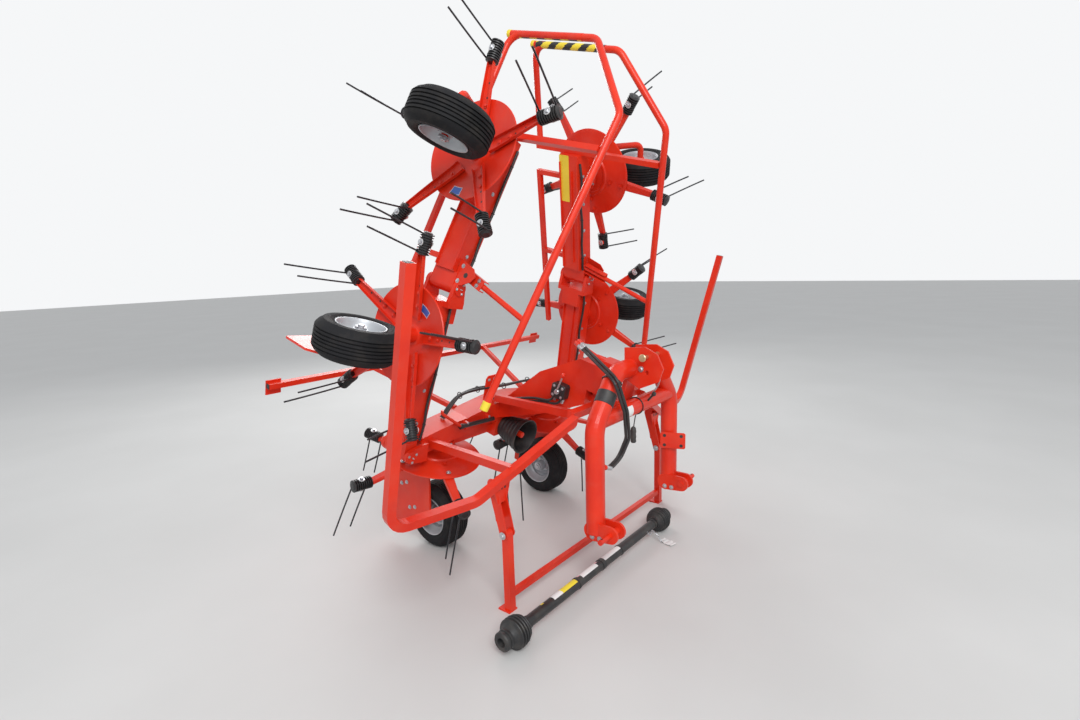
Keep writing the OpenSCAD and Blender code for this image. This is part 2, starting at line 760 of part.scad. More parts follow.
module tyre(s, panel) {
    w = tyre_w / 2;
    color(BLACK) on_panel(s, panel) translate(axle_at(panel)) rotate([0, 90, 0]) rotate_extrude($fn = 72) polygon([
        [rim_r, -w + 22], [rim_r + 18, -w + 6], [rim_r + 40, -w], [tyre_r - 34, -w + 3], [tyre_r - 15, -w + 16],
        [tyre_r - 4, -w + 32], [tyre_r, -w + 50], [tyre_r, w - 50], [tyre_r - 4, w - 32], [tyre_r - 15, w - 16],
        [tyre_r - 34, w - 3], [rim_r + 40, w], [rim_r + 18, w - 6], [rim_r, w - 22]
    ]);
}

module rim(s, panel) {
    w = tyre_w / 2;
    color(STEEL) on_panel(s, panel) translate(axle_at(panel)) rotate([0, 90, 0]) rotate_extrude() polygon([
        [axle_r + run, -55], [axle_r + 18, -55], [axle_r + 18, -8], [rim_r - 12, -8], [rim_r - 12, -w + 30],
        [rim_r, -w + 24], [rim_r, w - 24], [rim_r - 12, w - 30], [rim_r - 12, 4], [axle_r + 18, 4],
        [axle_r + 18, 55], [axle_r + run, 55]
    ]);
}

cross_beam();
mast();
front_bars();
loop_guard(side_r);  // loop_guard_r
loop_guard(side_l);  // loop_guard_l
headstock();
hitch_pins();
rear_guard();
drive_box();
input_stub();
drive_bell();
hoses();
stand();
stand_links();
shaft_tube();
shaft_cones();
inner_wing(side_r);  // inner_wing_r
inner_wing(side_l);  // inner_wing_l
outer_wing(side_r);  // outer_wing_r
outer_wing(side_l);  // outer_wing_l
hoop_guard(side_r);  // hoop_guard_r
hoop_guard(side_l);  // hoop_guard_l
wheel_leg(side_r, 0);  // wheel_leg_r1
wheel_leg(side_r, 1);  // wheel_leg_r2
wheel_leg(side_r, 2);  // wheel_leg_r3
wheel_leg(side_l, 0);  // wheel_leg_l1
wheel_leg(side_l, 1);  // wheel_leg_l2
wheel_leg(side_l, 2);  // wheel_leg_l3
rotor(side_r, 0);  // rotor_r1
rotor(side_r, 1);  // rotor_r2
rotor(side_r, 2);  // rotor_r3
rotor(side_l, 0);  // rotor_l1
rotor(side_l, 1);  // rotor_l2
rotor(side_l, 2);  // rotor_l3
tines(side_r, 0);  // tines_r1
tines(side_r, 1);  // tines_r2
tines(side_r, 2);  // tines_r3
tines(side_l, 0);  // tines_l1
tines(side_l, 1);  // tines_l2
tines(side_l, 2);  // tines_l3
tyre(side_r, 0);  // tyre_r1
tyre(side_r, 1);  // tyre_r2
tyre(side_r, 2);  // tyre_r3
tyre(side_l, 0);  // tyre_l1
tyre(side_l, 1);  // tyre_l2
tyre(side_l, 2);  // tyre_l3
rim(side_r, 0);  // rim_r1
rim(side_r, 1);  // rim_r2
rim(side_r, 2);  // rim_r3
rim(side_l, 0);  // rim_l1
rim(side_l, 1);  // rim_l2
rim(side_l, 2);  // rim_l3
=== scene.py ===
# %% [markdown]
# # A folded hay tedder
# This lesson dresses a red hay tedder with six rotors, parked nose down with its wings folded up.
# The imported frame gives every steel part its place. We add what makes it look real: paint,
# rubber, ribbed tine holders, bolts, hoses and stickers without any words.

import math

import bmesh
import bpy
from mathutils import Matrix, Vector


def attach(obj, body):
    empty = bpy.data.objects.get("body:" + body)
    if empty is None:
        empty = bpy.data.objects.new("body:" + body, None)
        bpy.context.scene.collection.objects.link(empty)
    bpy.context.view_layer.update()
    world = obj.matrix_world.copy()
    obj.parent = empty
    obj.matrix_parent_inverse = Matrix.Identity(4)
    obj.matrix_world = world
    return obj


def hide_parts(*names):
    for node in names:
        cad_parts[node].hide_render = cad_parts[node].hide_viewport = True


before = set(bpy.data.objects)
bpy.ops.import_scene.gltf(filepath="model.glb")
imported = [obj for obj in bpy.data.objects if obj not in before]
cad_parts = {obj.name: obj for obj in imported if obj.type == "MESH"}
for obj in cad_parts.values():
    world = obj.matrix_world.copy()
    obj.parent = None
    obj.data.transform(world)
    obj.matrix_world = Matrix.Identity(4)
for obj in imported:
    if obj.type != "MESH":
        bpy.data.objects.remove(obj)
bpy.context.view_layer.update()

# %% [markdown]
# ## The camera
# The picture was taken at standing height, close to the machine, looking a little down with a wide lens.
# A wide lens stretches what is near, so the camera's place matters more than anything else.
# We write its three axes as columns of a matrix, because that keeps the small roll exactly.

# %% Camera
YAW, DIP, ROLL = (math.radians(a) for a in (51.3111, 9.5929, -1.6835))
EYE = (-2.7468, -2.3212, 1.7229)
SENSOR, FOCAL_PIXELS, PICTURE_PIXELS = 36, 570.59, 1080
ahead = Vector((math.sin(YAW) * math.cos(DIP), math.cos(YAW) * math.cos(DIP), -math.sin(DIP)))
level = Vector((math.cos(YAW), -math.sin(YAW), 0))
above = level.cross(ahead)
right = math.cos(ROLL) * level + math.sin(ROLL) * above
upward = math.cos(ROLL) * above - math.sin(ROLL) * level

lens = bpy.data.cameras.new("camera")
lens.sensor_width = SENSOR
lens.lens = SENSOR * FOCAL_PIXELS / PICTURE_PIXELS
camera = bpy.data.objects.new("camera", lens)
bpy.context.scene.collection.objects.link(camera)
camera.matrix_world = Matrix.Translation(EYE) @ Matrix((right, upward, -ahead)).transposed().to_4x4()
bpy.context.scene.camera = camera
print("camera: lens", round(lens.lens, 2), "mm")

# %% [markdown]
# ## Places on the machine
# The machine has its own level frame, which is pitched nose down as it parks.
# Each wing is a panel that folds about a fore-and-aft hinge, and the outer panel folds again.
# One matrix for each panel lets us write every bolt in the plain, unfolded machine.

# %% Panel matrices
PITCH, PARK_SHIFT, FOLD_INNER, FOLD_OUTER = 15, 0.9004, 98, 13
ROTOR_X, ROTOR_Y, ROTOR_Z = (0.525, 1.5, 2.475), 1.310, 0.2503
AXLE_AHEAD, AXLE_DROP = 0.094, 0.366
AXLE_Y, AXLE_Z = ROTOR_Y - AXLE_AHEAD, ROTOR_Z - AXLE_DROP
HINGE_OUT, HINGE_A_UP, HINGE_B_UP = 0.295, 0.128, 0.190
HINGE_A = Vector((ROTOR_X[0] + HINGE_OUT, 0, ROTOR_Z + HINGE_A_UP))
HINGE_B = Vector((ROTOR_X[1] + HINGE_OUT, 0, ROTOR_Z + HINGE_B_UP))
SIDES = {"r": -1, "l": 1}


def turned(axis, degrees):
    return Matrix.Rotation(math.radians(degrees), 4, axis)


def moved(x, y, z):
    return Matrix.Translation((x, y, z))


def folded(hinge, degrees):
    return Matrix.Translation(hinge) @ turned("Y", -degrees) @ Matrix.Translation(-hinge)


FLOOR = moved(0, -PARK_SHIFT, 0)
MACHINE = FLOOR @ turned("X", PITCH)
PANEL, SPOT, CARRIER = {}, {}, {}
for s, sign in SIDES.items():
    half = MACHINE @ Matrix.Scale(sign, 4, (1, 0, 0))
    PANEL[s, 0] = half
    PANEL[s, 1] = half @ folded(HINGE_A, FOLD_INNER)
    PANEL[s, 2] = PANEL[s, 1] @ folded(HINGE_B, FOLD_OUTER)
    for p, body in enumerate(("frame", f"inner_{s}", f"outer_{s}")):
        SPOT[f"{s}{p + 1}"] = (s, p)
        CARRIER[f"{s}{p + 1}"] = body
for which, (s, p) in SPOT.items():
    print("rotor", which, "at", [round(c, 2) for c in PANEL[s, p] @ Vector((ROTOR_X[p], ROTOR_Y, ROTOR_Z))])

# %% [markdown]
# ## Tools for steel
# Almost every part of a farm machine is turned, bent or cut from sheet.
# So three small functions make nearly all of it: one turns an outline about an axis,
# one draws a section along a path, and one cuts a plate and breaks its edges.
# Each returns points and faces, and a Shape gathers them into one mesh.

# %% Shapes
class Shape:
    def __init__(self, place=None):
        self.place = place or Matrix()
        self.points, self.faces, self.marks = [], [], []

    def add(self, made, place=None, mark=0):
        points, faces = made
        start = len(self.points)
        where = self.place @ (place or Matrix())
        self.points += [where @ Vector(p) for p in points]
        self.faces += [[start + i for i in face] for face in faces]
        self.marks += mark if isinstance(mark, list) else [mark] * len(faces)
        return self


def ring_faces(rings, sides, closed=False):
    faces = []
    for i in range(rings if closed else rings - 1):
        a, b = i * sides, (i + 1) % rings * sides
        faces += [[a + k, a + (k + 1) % sides, b + (k + 1) % sides, b + k] for k in range(sides)]
    if not closed:
        faces += [list(range(sides))[::-1], [(rings - 1) * sides + k for k in range(sides)]]
    return faces


def lathe(outline, sides=32, closed=False):
    turns = [2 * math.pi * k / sides for k in range(sides)]
    points = [(r * math.cos(t), r * math.sin(t), z) for r, z in outline for t in turns]
    return points, ring_faces(len(outline), sides, closed)


def sweep(path, section, closed=False, side=None):
    path = [Vector(p) for p in path]
    last = len(path) - 1
    ways = []
    for i in range(last + 1):
        after = path[(i + 1) % (last + 1) if closed else min(i + 1, last)]
        before = path[i - 1 if closed or i else 0]
        ways.append((after - before).normalized())
    side = Vector(side) if side else ways[0].orthogonal().normalized()
    points = []
    for p, way in zip(path, ways):
        side = (side - side.dot(way) * way).normalized()
        other = way.cross(side)
        points += [p + a * side + b * other for a, b in section]
    return points, ring_faces(len(path), len(section), closed)


def circle(r, sides=12):
    turns = [2 * math.pi * k / sides for k in range(sides)]
    return [(r * math.cos(t), r * math.sin(t)) for t in turns]


def tube(path, r, sides=12):
    return sweep(path, circle(r, sides))


def ring(big, small, sides=20):
    return lathe([(big + small * a, small * b) for a, b in circle(1, 8)], sides, closed=True)


def rod(a, b, r, sides=12, edge=0.0):
    way = Vector(b) - Vector(a)
    outline = [(r, 0), (r, way.length)]
    if edge:
        outline = [(r - edge, 0), (r, edge), (r, way.length - edge), (r - edge, way.length)]
    points, faces = lathe(outline, sides)
    where = facing(a, way)
    return [where @ Vector(p) for p in points], faces


def smooth(points, steps=6):
    knots = [Vector(p) for p in points]
    knots = [2 * knots[0] - knots[1]] + knots + [2 * knots[-1] - knots[-2]]
    line = []
    for a, b, c, d in zip(knots, knots[1:], knots[2:], knots[3:]):
        for k in range(steps):
            t = k / steps
            curve, twist = 2 * a - 5 * b + 4 * c - d, 3 * b - a - 3 * c + d
            line.append(0.5 * (2 * b + (c - a) * t + curve * t * t + twist * t**3))
    return line + [knots[-2]]


def inset(outline, by):
    made = []
    for i, p in enumerate(outline):
        p, a, b = Vector(p), Vector(outline[i - 1]), Vector(outline[(i + 1) % len(outline)])
        u, w = (p - a).normalized(), (b - p).normalized()
        n = Vector((-u.y - w.y, u.x + w.x))
        scale = by / max(0.3, n.length / 2)
        made.append(p + n.normalized() * scale)
    return made


def slab(outline, low, high, edge=0.0015):
    small = inset(outline, edge)
    rings = [(small, low), (outline, low + edge), (outline, high - edge), (small, high)]
    return [(p[0], p[1], z) for loop, z in rings for p in loop], ring_faces(4, len(outline))


def sheet(tops, unders, cols):
    rows, low, last = len(tops) // cols, len(tops), cols - 1
    corners = [j * cols + i for j in range(rows - 1) for i in range(last)]
    faces = [[k, k + 1, k + cols + 1, k + cols] for k in corners]
    faces += [[low + k for k in reversed(face)] for face in faces]
    edge = list(range(cols)) + [cols * j + last for j in range(1, rows)]
    edge += [cols * (rows - 1) + i for i in range(last - 1, -1, -1)]
    edge += [cols * j for j in range(rows - 2, 0, -1)]
    faces += [[a, b, b + low, a + low] for a, b in zip(edge, edge[1:] + edge[:1])]
    return tops + unders, faces


def rectangle(w, h, cut):
    x, y = w / 2, h / 2
    a, b = x - cut, y - cut
    return [(-a, -y), (a, -y), (x, -b), (x, b), (a, y), (-a, y), (-x, b), (-x, -b)]


def facing(spot, way, level=(0, 0, 1)):
    z = Vector(way).normalized()
    x = Vector(level).cross(z)
    x = x.normalized() if x.length > 1e-4 else z.orthogonal().normalized()
    return Matrix.Translation(spot) @ Matrix((x, z.cross(x), z)).transposed().to_4x4()


def coin(r, tall, sides=24, middle=0.001):
    return lathe([(middle, 0), (r, 0), (r, tall), (middle, tall)], sides)


def collar(hole, r, low, high, sides=28):
    return lathe([(hole, low), (r, low), (r, high), (hole, high)], sides, closed=True)


def mirrored(outline):
    return [(r, -x) for r, x in reversed(outline)]


def bolt(r=0.009, tall=0.007):
    washer = r * 1.55
    points, faces = lathe([(r * 0.1, 0), (washer, 0), (washer, r * 0.22), (r * 0.9, r * 0.25)], 14)
    head, sides = slab(circle(r, 6), r * 0.2, tall, r * 0.12)
    return points + head, faces + [[len(points) + i for i in face] for face in sides]


def piece(name, shape, skins, body, crease=34):
    mesh = bpy.data.meshes.new(name)
    mesh.from_pydata(shape.points, [], shape.faces)
    work = bmesh.new()
    work.from_mesh(mesh)
    bmesh.ops.recalc_face_normals(work, faces=work.faces)
    work.to_mesh(mesh)
    work.free()
    skins = skins if isinstance(skins, (list, tuple)) else [skins]
    for skin in skins:
        mesh.materials.append(skin)
    mesh.polygons.foreach_set("material_index", shape.marks)
    mesh.polygons.foreach_set("use_smooth", [True] * len(mesh.polygons))
    mesh.set_sharp_from_angle(angle=math.radians(crease))
    thing = bpy.data.objects.new(name, mesh)
    bpy.context.scene.collection.objects.link(thing)
    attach(thing, body)
    return thing


print("a bolt has", len(bolt()[0]), "points")

# %% [markdown]
# ## Finishes
# The real machine is powder coated: a bright orange red with a soft gloss and a faint orange peel.
# Nothing on it has one flat colour, so each finish mixes two shades with noise,
# and its roughness and a fine bump come from noise as well.
# The noise reads object coordinates, so it stays on a part when the part moves.

# %% Material maker
COAT_ROUGH, DUST_SHADE, RELIEF = 0.12, (0.30, 0.25, 0.19, 1), 0.002


def finish(name, light, dark, rough, metal=0.0, grain=100.0, bump=0.15, patch=5.0,
           dust=0.0, coat=0.0, shine=0.5):
    skin = bpy.data.materials.new(name)
    skin.use_nodes = True
    nodes, links = skin.node_tree.nodes, skin.node_tree.links
    shader = nodes["Principled BSDF"]
    shader.inputs["Metallic"].default_value = metal
    shader.inputs["Specular IOR Level"].default_value = shine
    shader.inputs["Coat Weight"].default_value = coat
    shader.inputs["Coat Roughness"].default_value = COAT_ROUGH
    place = nodes.new("ShaderNodeTexCoord").outputs["Object"]

    def noise(scale, detail):
        node = nodes.new("ShaderNodeTexNoise")
        node.inputs["Scale"].default_value = scale
        node.inputs["Detail"].default_value = detail
        links.new(place, node.inputs["Vector"])
        return node.outputs["Fac"]

    def ramp(source, low, high, a, b):
        node = nodes.new("ShaderNodeValToRGB")
        node.color_ramp.elements[0].position, node.color_ramp.elements[1].position = low, high
        node.color_ramp.elements[0].color, node.color_ramp.elements[1].color = (*a, 1), (*b, 1)
        links.new(source, node.inputs["Fac"])
        return node.outputs["Color"]

    broad, fine = noise(patch, 5), noise(grain, 3)
    colour = ramp(broad, 0.35, 0.68, dark, light)
    if dust:
        mix = nodes.new("ShaderNodeMix")
        mix.data_type = "RGBA"
        links.new(ramp(noise(patch * 3.1, 7), 0.48, 0.78, (0, 0, 0), (dust,) * 3), mix.inputs["Factor"])
        links.new(colour, mix.inputs[6])
        mix.inputs[7].default_value = DUST_SHADE
        colour = mix.outputs[2]
    links.new(colour, shader.inputs["Base Color"])
    links.new(ramp(broad, 0.3, 0.7, (rough[0],) * 3, (rough[1],) * 3), shader.inputs["Roughness"])
    relief = nodes.new("ShaderNodeBump")
    relief.inputs["Strength"].default_value = bump
    relief.inputs["Distance"].default_value = RELIEF
    links.new(fine, relief.inputs["Height"])
    links.new(relief.outputs["Normal"], shader.inputs["Normal"])
    return skin


RED = finish("red_powder_coat", (0.76, 0.034, 0.008), (0.66, 0.022, 0.006), (0.30, 0.42),
             grain=140, bump=0.10, dust=0.06, coat=0.10, shine=0.32)
# BLACK is black paint. In holes, slots and cross holes it is painted shade for their dark insides.
BLACK = finish("black_paint_and_hole_shade", (0.022, 0.022, 0.024), (0.012, 0.012, 0.013), (0.32, 0.5),
               grain=120, bump=0.12, dust=0.10)
# PLASTIC is black plastic. On the open tube ends it is painted shade for their dark insides.
PLASTIC = finish("black_plastic", (0.026, 0.026, 0.028), (0.014, 0.014, 0.015), (0.42, 0.58),
                 grain=420, bump=0.25, dust=0.14)
RUBBER = finish("tyre_rubber", (0.017, 0.017, 0.019), (0.009, 0.009, 0.010), (0.6, 0.8),
                grain=260, bump=0.35, dust=0.06, shine=0.18)
GRIP = finish("holder_rubber", (0.022, 0.022, 0.024), (0.011, 0.011, 0.012), (0.28, 0.42),
              grain=300, bump=0.2, dust=0.05)
HOSE = finish("hose_rubber", (0.030, 0.030, 0.031), (0.016, 0.016, 0.017), (0.34, 0.5),
              grain=500, bump=0.2, dust=0.08)
RIM = finish("silver_rim", (0.52, 0.54, 0.56), (0.38, 0.40, 0.43), (0.34, 0.5),
             metal=0.35, grain=90, bump=0.10, dust=0.22)
SPRING = finish("spring_wire", (0.075, 0.075, 0.08), (0.035, 0.035, 0.04), (0.3, 0.5),
                metal=0.7, grain=300, bump=0.2)
ZINC = finish("zinc_bolts", (0.62, 0.63, 0.65), (0.46, 0.47, 0.50), (0.28, 0.45), metal=0.9, grain=400)
PASSIVE = finish("yellow_zinc", (0.80, 0.66, 0.38), (0.62, 0.50, 0.30), (0.25, 0.42), metal=0.9, grain=300)
YELLOW = finish("yellow_cap", (0.86, 0.70, 0.05), (0.78, 0.60, 0.03), (0.4, 0.5), grain=200, bump=0.1)
WHITE = finish("white_label", (0.82, 0.82, 0.80), (0.74, 0.74, 0.73), (0.35, 0.45), bump=0.04)
BLUE = finish("blue_label", (0.05, 0.15, 0.55), (0.03, 0.11, 0.44), (0.3, 0.42), bump=0.04)
PINK = finish("pale_label", (0.78, 0.48, 0.50), (0.72, 0.42, 0.46), (0.35, 0.45), bump=0.04)
print("finishes:", len(bpy.data.materials))

# %% [markdown]
# ## Painting the frame
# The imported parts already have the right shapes, so they only change their paint.
# A part's name says what it is made of, so a short table is enough for all of them.

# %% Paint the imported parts
PAINT = {"input_stub": ZINC, "drive_bell": PLASTIC, "shaft_tube": BLACK, "shaft_cones": PLASTIC,
         "hoses": HOSE}
KINDS = {"tines": PLASTIC, "tyre": RUBBER, "rim": RIM}
for name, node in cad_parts.items():
    skin = PAINT.get(name) or KINDS.get(name.rsplit("_", 1)[0], RED)
    for place in node.material_slots:
        place.material = skin
print("painted", len(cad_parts), "parts")

# %% [markdown]
# ## Tyres
# These are low, wide implement tyres with straight ribs round the tread.
# A picture of a tread would look painted on from the side, so the ribs are real grooves.
# The whole tyre is one turned outline: bead, bulging wall, rounded shoulder and the ribs between the grooves.

# %% Tyres
TYRE_R, TYRE_W, BEAD_R = 0.203, 0.165, 0.112
OVER_BEAD = ((0, 0.022), (0.008, 0.012), (0.020, 0.006), (0.030, 0.001), (0.034, 0.002), (0.040, 0),
             (0.058, 0.001))
UNDER_TREAD = ((0.028, 0.007), (0.014, 0.017), (0.006, 0.028))
SHOULDER, RIB_PITCH, GROOVE_DEEP, CROWN = 0.036, 0.0176, 0.0085, 0.0018
GROOVE_START, GROOVE_END, NEXT_RIB = 0.0022, 0.0052, 0.0074
OUTER_WHEEL = Vector((-0.030, -0.070, 0.036))


def tyre_outline():
    half = TYRE_W / 2
    outline = [(BEAD_R + up, half - inward) for up, inward in OVER_BEAD]
    outline += [(TYRE_R - down, half - inward) for down, inward in UNDER_TREAD]
    x = half - SHOULDER
    while x > 0.004:
        outline += [(TYRE_R - 0.002 + CROWN * (1 - x / half), x), (TYRE_R - GROOVE_DEEP, x - GROOVE_START),
                    (TYRE_R - GROOVE_DEEP, x - GROOVE_END), (TYRE_R - 0.001, x - NEXT_RIB)]
        x -= RIB_PITCH
    outline = [(min(r, TYRE_R), x) for r, x in outline if x > 0]
    return outline + mirrored(outline)


def axle_spot(p):
    return Vector((ROTOR_X[p], AXLE_Y, AXLE_Z)) + (OUTER_WHEEL if p == 2 else Vector())


def wheel_place(which):
    s, p = SPOT[which]
    return PANEL[s, p] @ Matrix.Translation(axle_spot(p)) @ turned("Y", 90)


for which in SPOT:
    shape = Shape(wheel_place(which))
    shape.add(lathe(tyre_outline(), 72, closed=True))
    tread = piece(f"ribbed_tyre_{which}", shape, RUBBER, f"wheel_{which}", 28)
    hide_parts(f"tyre_{which}")
print("tyre outline has", len(tyre_outline()), "points")

# %% [markdown]
# ## Wheel discs
# A pressed disc sits inside a rolled rim, with five nuts round its hub.
# The rim's lip stands a little over the tyre's bead, which is the bright ring that the picture shows.

# %% Wheel discs
BARREL_OUT = [(BEAD_R + 0.006, 0.0765), (BEAD_R + 0.007, 0.0725), (BEAD_R - 0.001, 0.060),
              (BEAD_R - 0.004, 0.040), (BEAD_R - 0.020, 0.024)]
BARREL_IN = [(BEAD_R - 0.025, 0.024), (BEAD_R - 0.009, 0.042), (BEAD_R - 0.006, 0.062),
             (BEAD_R + 0.001, 0.0755)]
PRESSED = [(0.022, -0.004), (0.050, -0.002), (0.062, 0.010), (0.074, 0.012), (BEAD_R - 0.022, -0.006),
           (BEAD_R - 0.022, -0.012), (0.074, 0.006), (0.062, 0.004), (0.050, -0.008), (0.022, -0.010)]
WHEEL_HUB = [(0.0172, -0.055), (0.034, -0.055), (0.036, -0.050), (0.036, 0.050), (0.034, 0.055),
             (0.0172, 0.055)]
WHEEL_NUTS, NUT_RING, NUT_R = 5, 0.044, 0.010

for which in SPOT:
    shape = Shape(wheel_place(which))
    shape.add(lathe(BARREL_OUT + mirrored(BARREL_OUT) + mirrored(BARREL_IN) + BARREL_IN, 56, closed=True))
    shape.add(lathe(PRESSED, 48, closed=True))
    shape.add(lathe(WHEEL_HUB, 32, closed=True))
    for k in range(WHEEL_NUTS):
        seat = turned("Z", 360 / WHEEL_NUTS * k)
        shape.add(bolt(NUT_R, 0.012), seat @ moved(NUT_RING, 0, -0.003), 1)
        shape.add(bolt(NUT_R, 0.009), seat @ moved(NUT_RING, 0, -0.009) @ turned("X", 180), 1)
    disc = piece(f"wheel_disc_{which}", shape, [RIM, ZINC], f"wheel_{which}")
    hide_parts(f"rim_{which}")
print("wheels:", len(SPOT))

# %% [markdown]
# ## Rotor dishes and arms
# Each rotor is a pressed dish with a rolled edge and a raised ring, and five pressed arms bolted under it.
# An arm is a channel that gets narrower on its way out, so we draw its folded section along its length.

# %% Dishes and arms
ARMS, ARM_PHASE = 5, 6
DISH_R, HUB_R, HUB_H = 0.275, 0.062, 0.078
ARM_START, ARM_RUN, ARM_BEND, ARM_SLOPE, ARM_TOP = 0.10, 0.34, 0.12, 0.24, 0.024
ARM_BOLTS, ARM_HOLES = ((0.165, 0.033), (0.238, 0.017)), (0.275, 0.345)
HOLE_TOP, HOLE_WAY = 0.0262, (-0.233, 0, -0.972)
HOLDER_AT, HOLDER_LEN, HOLDER_R, HOLDER_DROP = 0.482, 0.118, 0.029, 0.058


def rotor_place(which):
    s, p = SPOT[which]
    return PANEL[s, p] @ moved(ROTOR_X[p], ROTOR_Y, ROTOR_Z)


def arm_turns(which):
    s, p = SPOT[which]
    first = (-1 if p == 1 else 1) * (ARM_PHASE + (180 / ARMS if s == "l" else 0))
    return [turned("Z", first + k * 360 / ARMS) for k in range(ARMS)]


DISH = [(0.0405, HUB_H), (HUB_R - 0.003, HUB_H), (HUB_R, HUB_H - 0.003), (HUB_R, 0.056),
        (HUB_R + 0.010, 0.052), (0.115, 0.043), (0.120, 0.047), (0.135, 0.046), (0.142, 0.037),
        (0.205, 0.021), (0.255, 0.009), (0.268, 0.008), (DISH_R, 0.005), (DISH_R + 0.001, 0.000),
        (DISH_R - 0.002, -0.004), (0.266, -0.002), (0.250, 0.004), (0.200, 0.015), (0.120, 0.036),
        (HUB_R, 0.046), (0.050, 0.046), (0.0405, 0.040)]


def arm_section(x):
    t = (x - ARM_START) / ARM_RUN
    w, h = 0.036 - 0.015 * t, 0.017 + 0.002 * math.sin(3.1 * t)
    return [(-w, -h), (-w, 0.001), (-w + 0.005, 0.006), (w - 0.005, 0.006), (w, 0.001), (w, -h),
            (w - 0.004, -h), (w - 0.004, 0.0), (w - 0.008, 0.002), (-w + 0.008, 0.002), (-w + 0.004, 0.0),
            (-w + 0.004, -h)]


def arm(rings=9):
    points = []
    for k in range(rings):
        x = ARM_START + ARM_RUN * k / (rings - 1)
        z = max(ARM_TOP - ARM_SLOPE * max(x - ARM_BEND, 0), -HOLDER_DROP)
        points += [(x, y, z + dz) for y, dz in arm_section(x)]
    return points, ring_faces(rings, len(points) // rings)


for which, (s, p) in SPOT.items():
    shape = Shape(rotor_place(which))
    shape.add(lathe(DISH, 72, closed=True))
    for turn in arm_turns(which):
        shape.add(arm(), turn)
        for x, z in ARM_BOLTS:
            bright = p == 0 and x == ARM_BOLTS[-1][0]
            shape.add(bolt(0.010, 0.010), turn @ moved(x, 0, z), int(bright))
            shape.add(bolt(0.009, 0.008), turn @ moved(x, 0, z - 0.020) @ turned("X", 180))
        # A flat black coin in each arm hole is painted shade for the dark inside of the hole.
        for x in ARM_HOLES:
            spot = (x, 0, HOLE_TOP - ARM_SLOPE * (x - ARM_BEND))
            shape.add(coin(0.0055, 0.0006, 16), turn @ facing(spot, HOLE_WAY), 2)
    dish = piece(f"dish_and_arms_{which}", shape, [RED, ZINC, BLACK], f"spinner_{which}")
    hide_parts(f"rotor_{which}")
print("arms:", ARMS * len(SPOT))

# %% [markdown]
# ## Tine holders
# Two spring wires leave each black holder, which is a ribbed sleeve on the arm's end.
# A bolt from above and one from below clamp it.
# The ribs are turned like the tyre's grooves, then the sleeve is squared a little, as moulded ones are.
# The wires make one turn at each end of the sleeve before they hang down.

# %% Holders and tines
TINE_R, TINE_LONG, TINE_SHORT, TINE_GAP = 0.00475, 0.350, 0.320, 0.092
TINE_WAY = turned("Y", 168) @ turned("X", -8) @ Vector((0, 0, 1))
TINE_BOW, TINE_STEPS, COIL_R, COIL_STEPS, COIL_SHIFT, COIL_LEAD = 0.0072, 6, 0.0195, 14, 0.004, 0.02
GRIP_R, GRIP_END, GRIP_DEEP, GRIP_PITCH, GRIP_MIDDLE = HOLDER_R + 0.006, 0.019, 0.009, 0.0124, 0.017
CLAMP_BOLTS = ((0, 0.0195, 0.0115, 0.013), (180, 0.0175, 0.0105, 0.010))


def holder():
    half, low = HOLDER_LEN / 2, GRIP_R - GRIP_DEEP
    outline = [(0.012, -half), (GRIP_END, -half)]
    x = 0.006 - half
    while x < half - 0.008:
        r = GRIP_R if abs(x) > GRIP_MIDDLE else GRIP_R - 0.001
        outline += [(low, x), (r, x + 0.0012), (r, x + 0.0062), (low, x + 0.0074)]
        x += GRIP_PITCH
    outline += [(GRIP_END, half), (0.012, half)]
    points, faces = lathe(outline, 28)

    def squared(p):
        far = max(abs(p[0]), abs(p[1])) / math.hypot(p[0], p[1])
        scale = 0.94 + 0.06 * far
        return p[0] * scale, p[1] * scale, p[2]

    return [squared(p) for p in points], faces


def wire(at, length):
    start, route = Vector((at, COIL_R, 0)), []
    for k in range(COIL_STEPS, 0, -1):
        t, shift = k / COIL_STEPS, math.copysign(COIL_SHIFT, at)
        a = 2 * math.pi * k / COIL_STEPS
        route.append((at + shift * t, COIL_R * math.cos(a), COIL_R * math.sin(a)))
    route += [start + TINE_WAY * COIL_LEAD * k for k in range(3)]
    for k in range(1, TINE_STEPS + 1):
        bow = TINE_BOW * (k / TINE_STEPS) ** 2
        route.append(start + TINE_WAY * length * k / TINE_STEPS - Vector((0, bow, 0)))
    return route


for which in SPOT:
    grip, wires = Shape(rotor_place(which)), Shape(rotor_place(which))
    for turn in arm_turns(which):
        seat = turn @ moved(HOLDER_AT + 0.012, 0, -HOLDER_DROP)
        grip.add(holder(), seat @ turned("Y", 90))
        for over, wide, r, tall in CLAMP_BOLTS:
            face = seat @ turned("X", over) @ moved(0.004, 0, GRIP_R - 0.004)
            grip.add(coin(wide, 0.002), face, 3)
            grip.add(bolt(r, tall), face @ moved(0, 0, 0.001), 1)
        tag = seat @ moved(0.002, 0.018, GRIP_R - 0.008) @ turned("X", -42)
        grip.add(slab(rectangle(0.024, 0.010, 0.002), 0, 0.002, 0.0005), tag, 2)
        for k, length in ((-1, TINE_SHORT), (1, TINE_LONG)):
            wires.add(tube(wire(k * TINE_GAP / 2 - 0.004, length), TINE_R, 8), seat)
    skins = [GRIP, ZINC, RED, WHITE]
    holders = piece(f"ribbed_holders_{which}", grip, skins, f"spinner_{which}")
    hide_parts(f"tines_{which}")
    piece(f"tine_wires_{which}", wires, SPRING, f"spinner_{which}", 60)
print("tines:", 2 * ARMS * len(SPOT))

# %% [markdown]
# ## The loose drive shaft
# The shaft lies on the floor inside a black guard tube.
# Each end has a ribbed rubber cone, wide enough for the joint inside to bend.
# The collar of the yoke follows beyond it.
# The labels round the tube stay blank, because only their colours and places matter here.

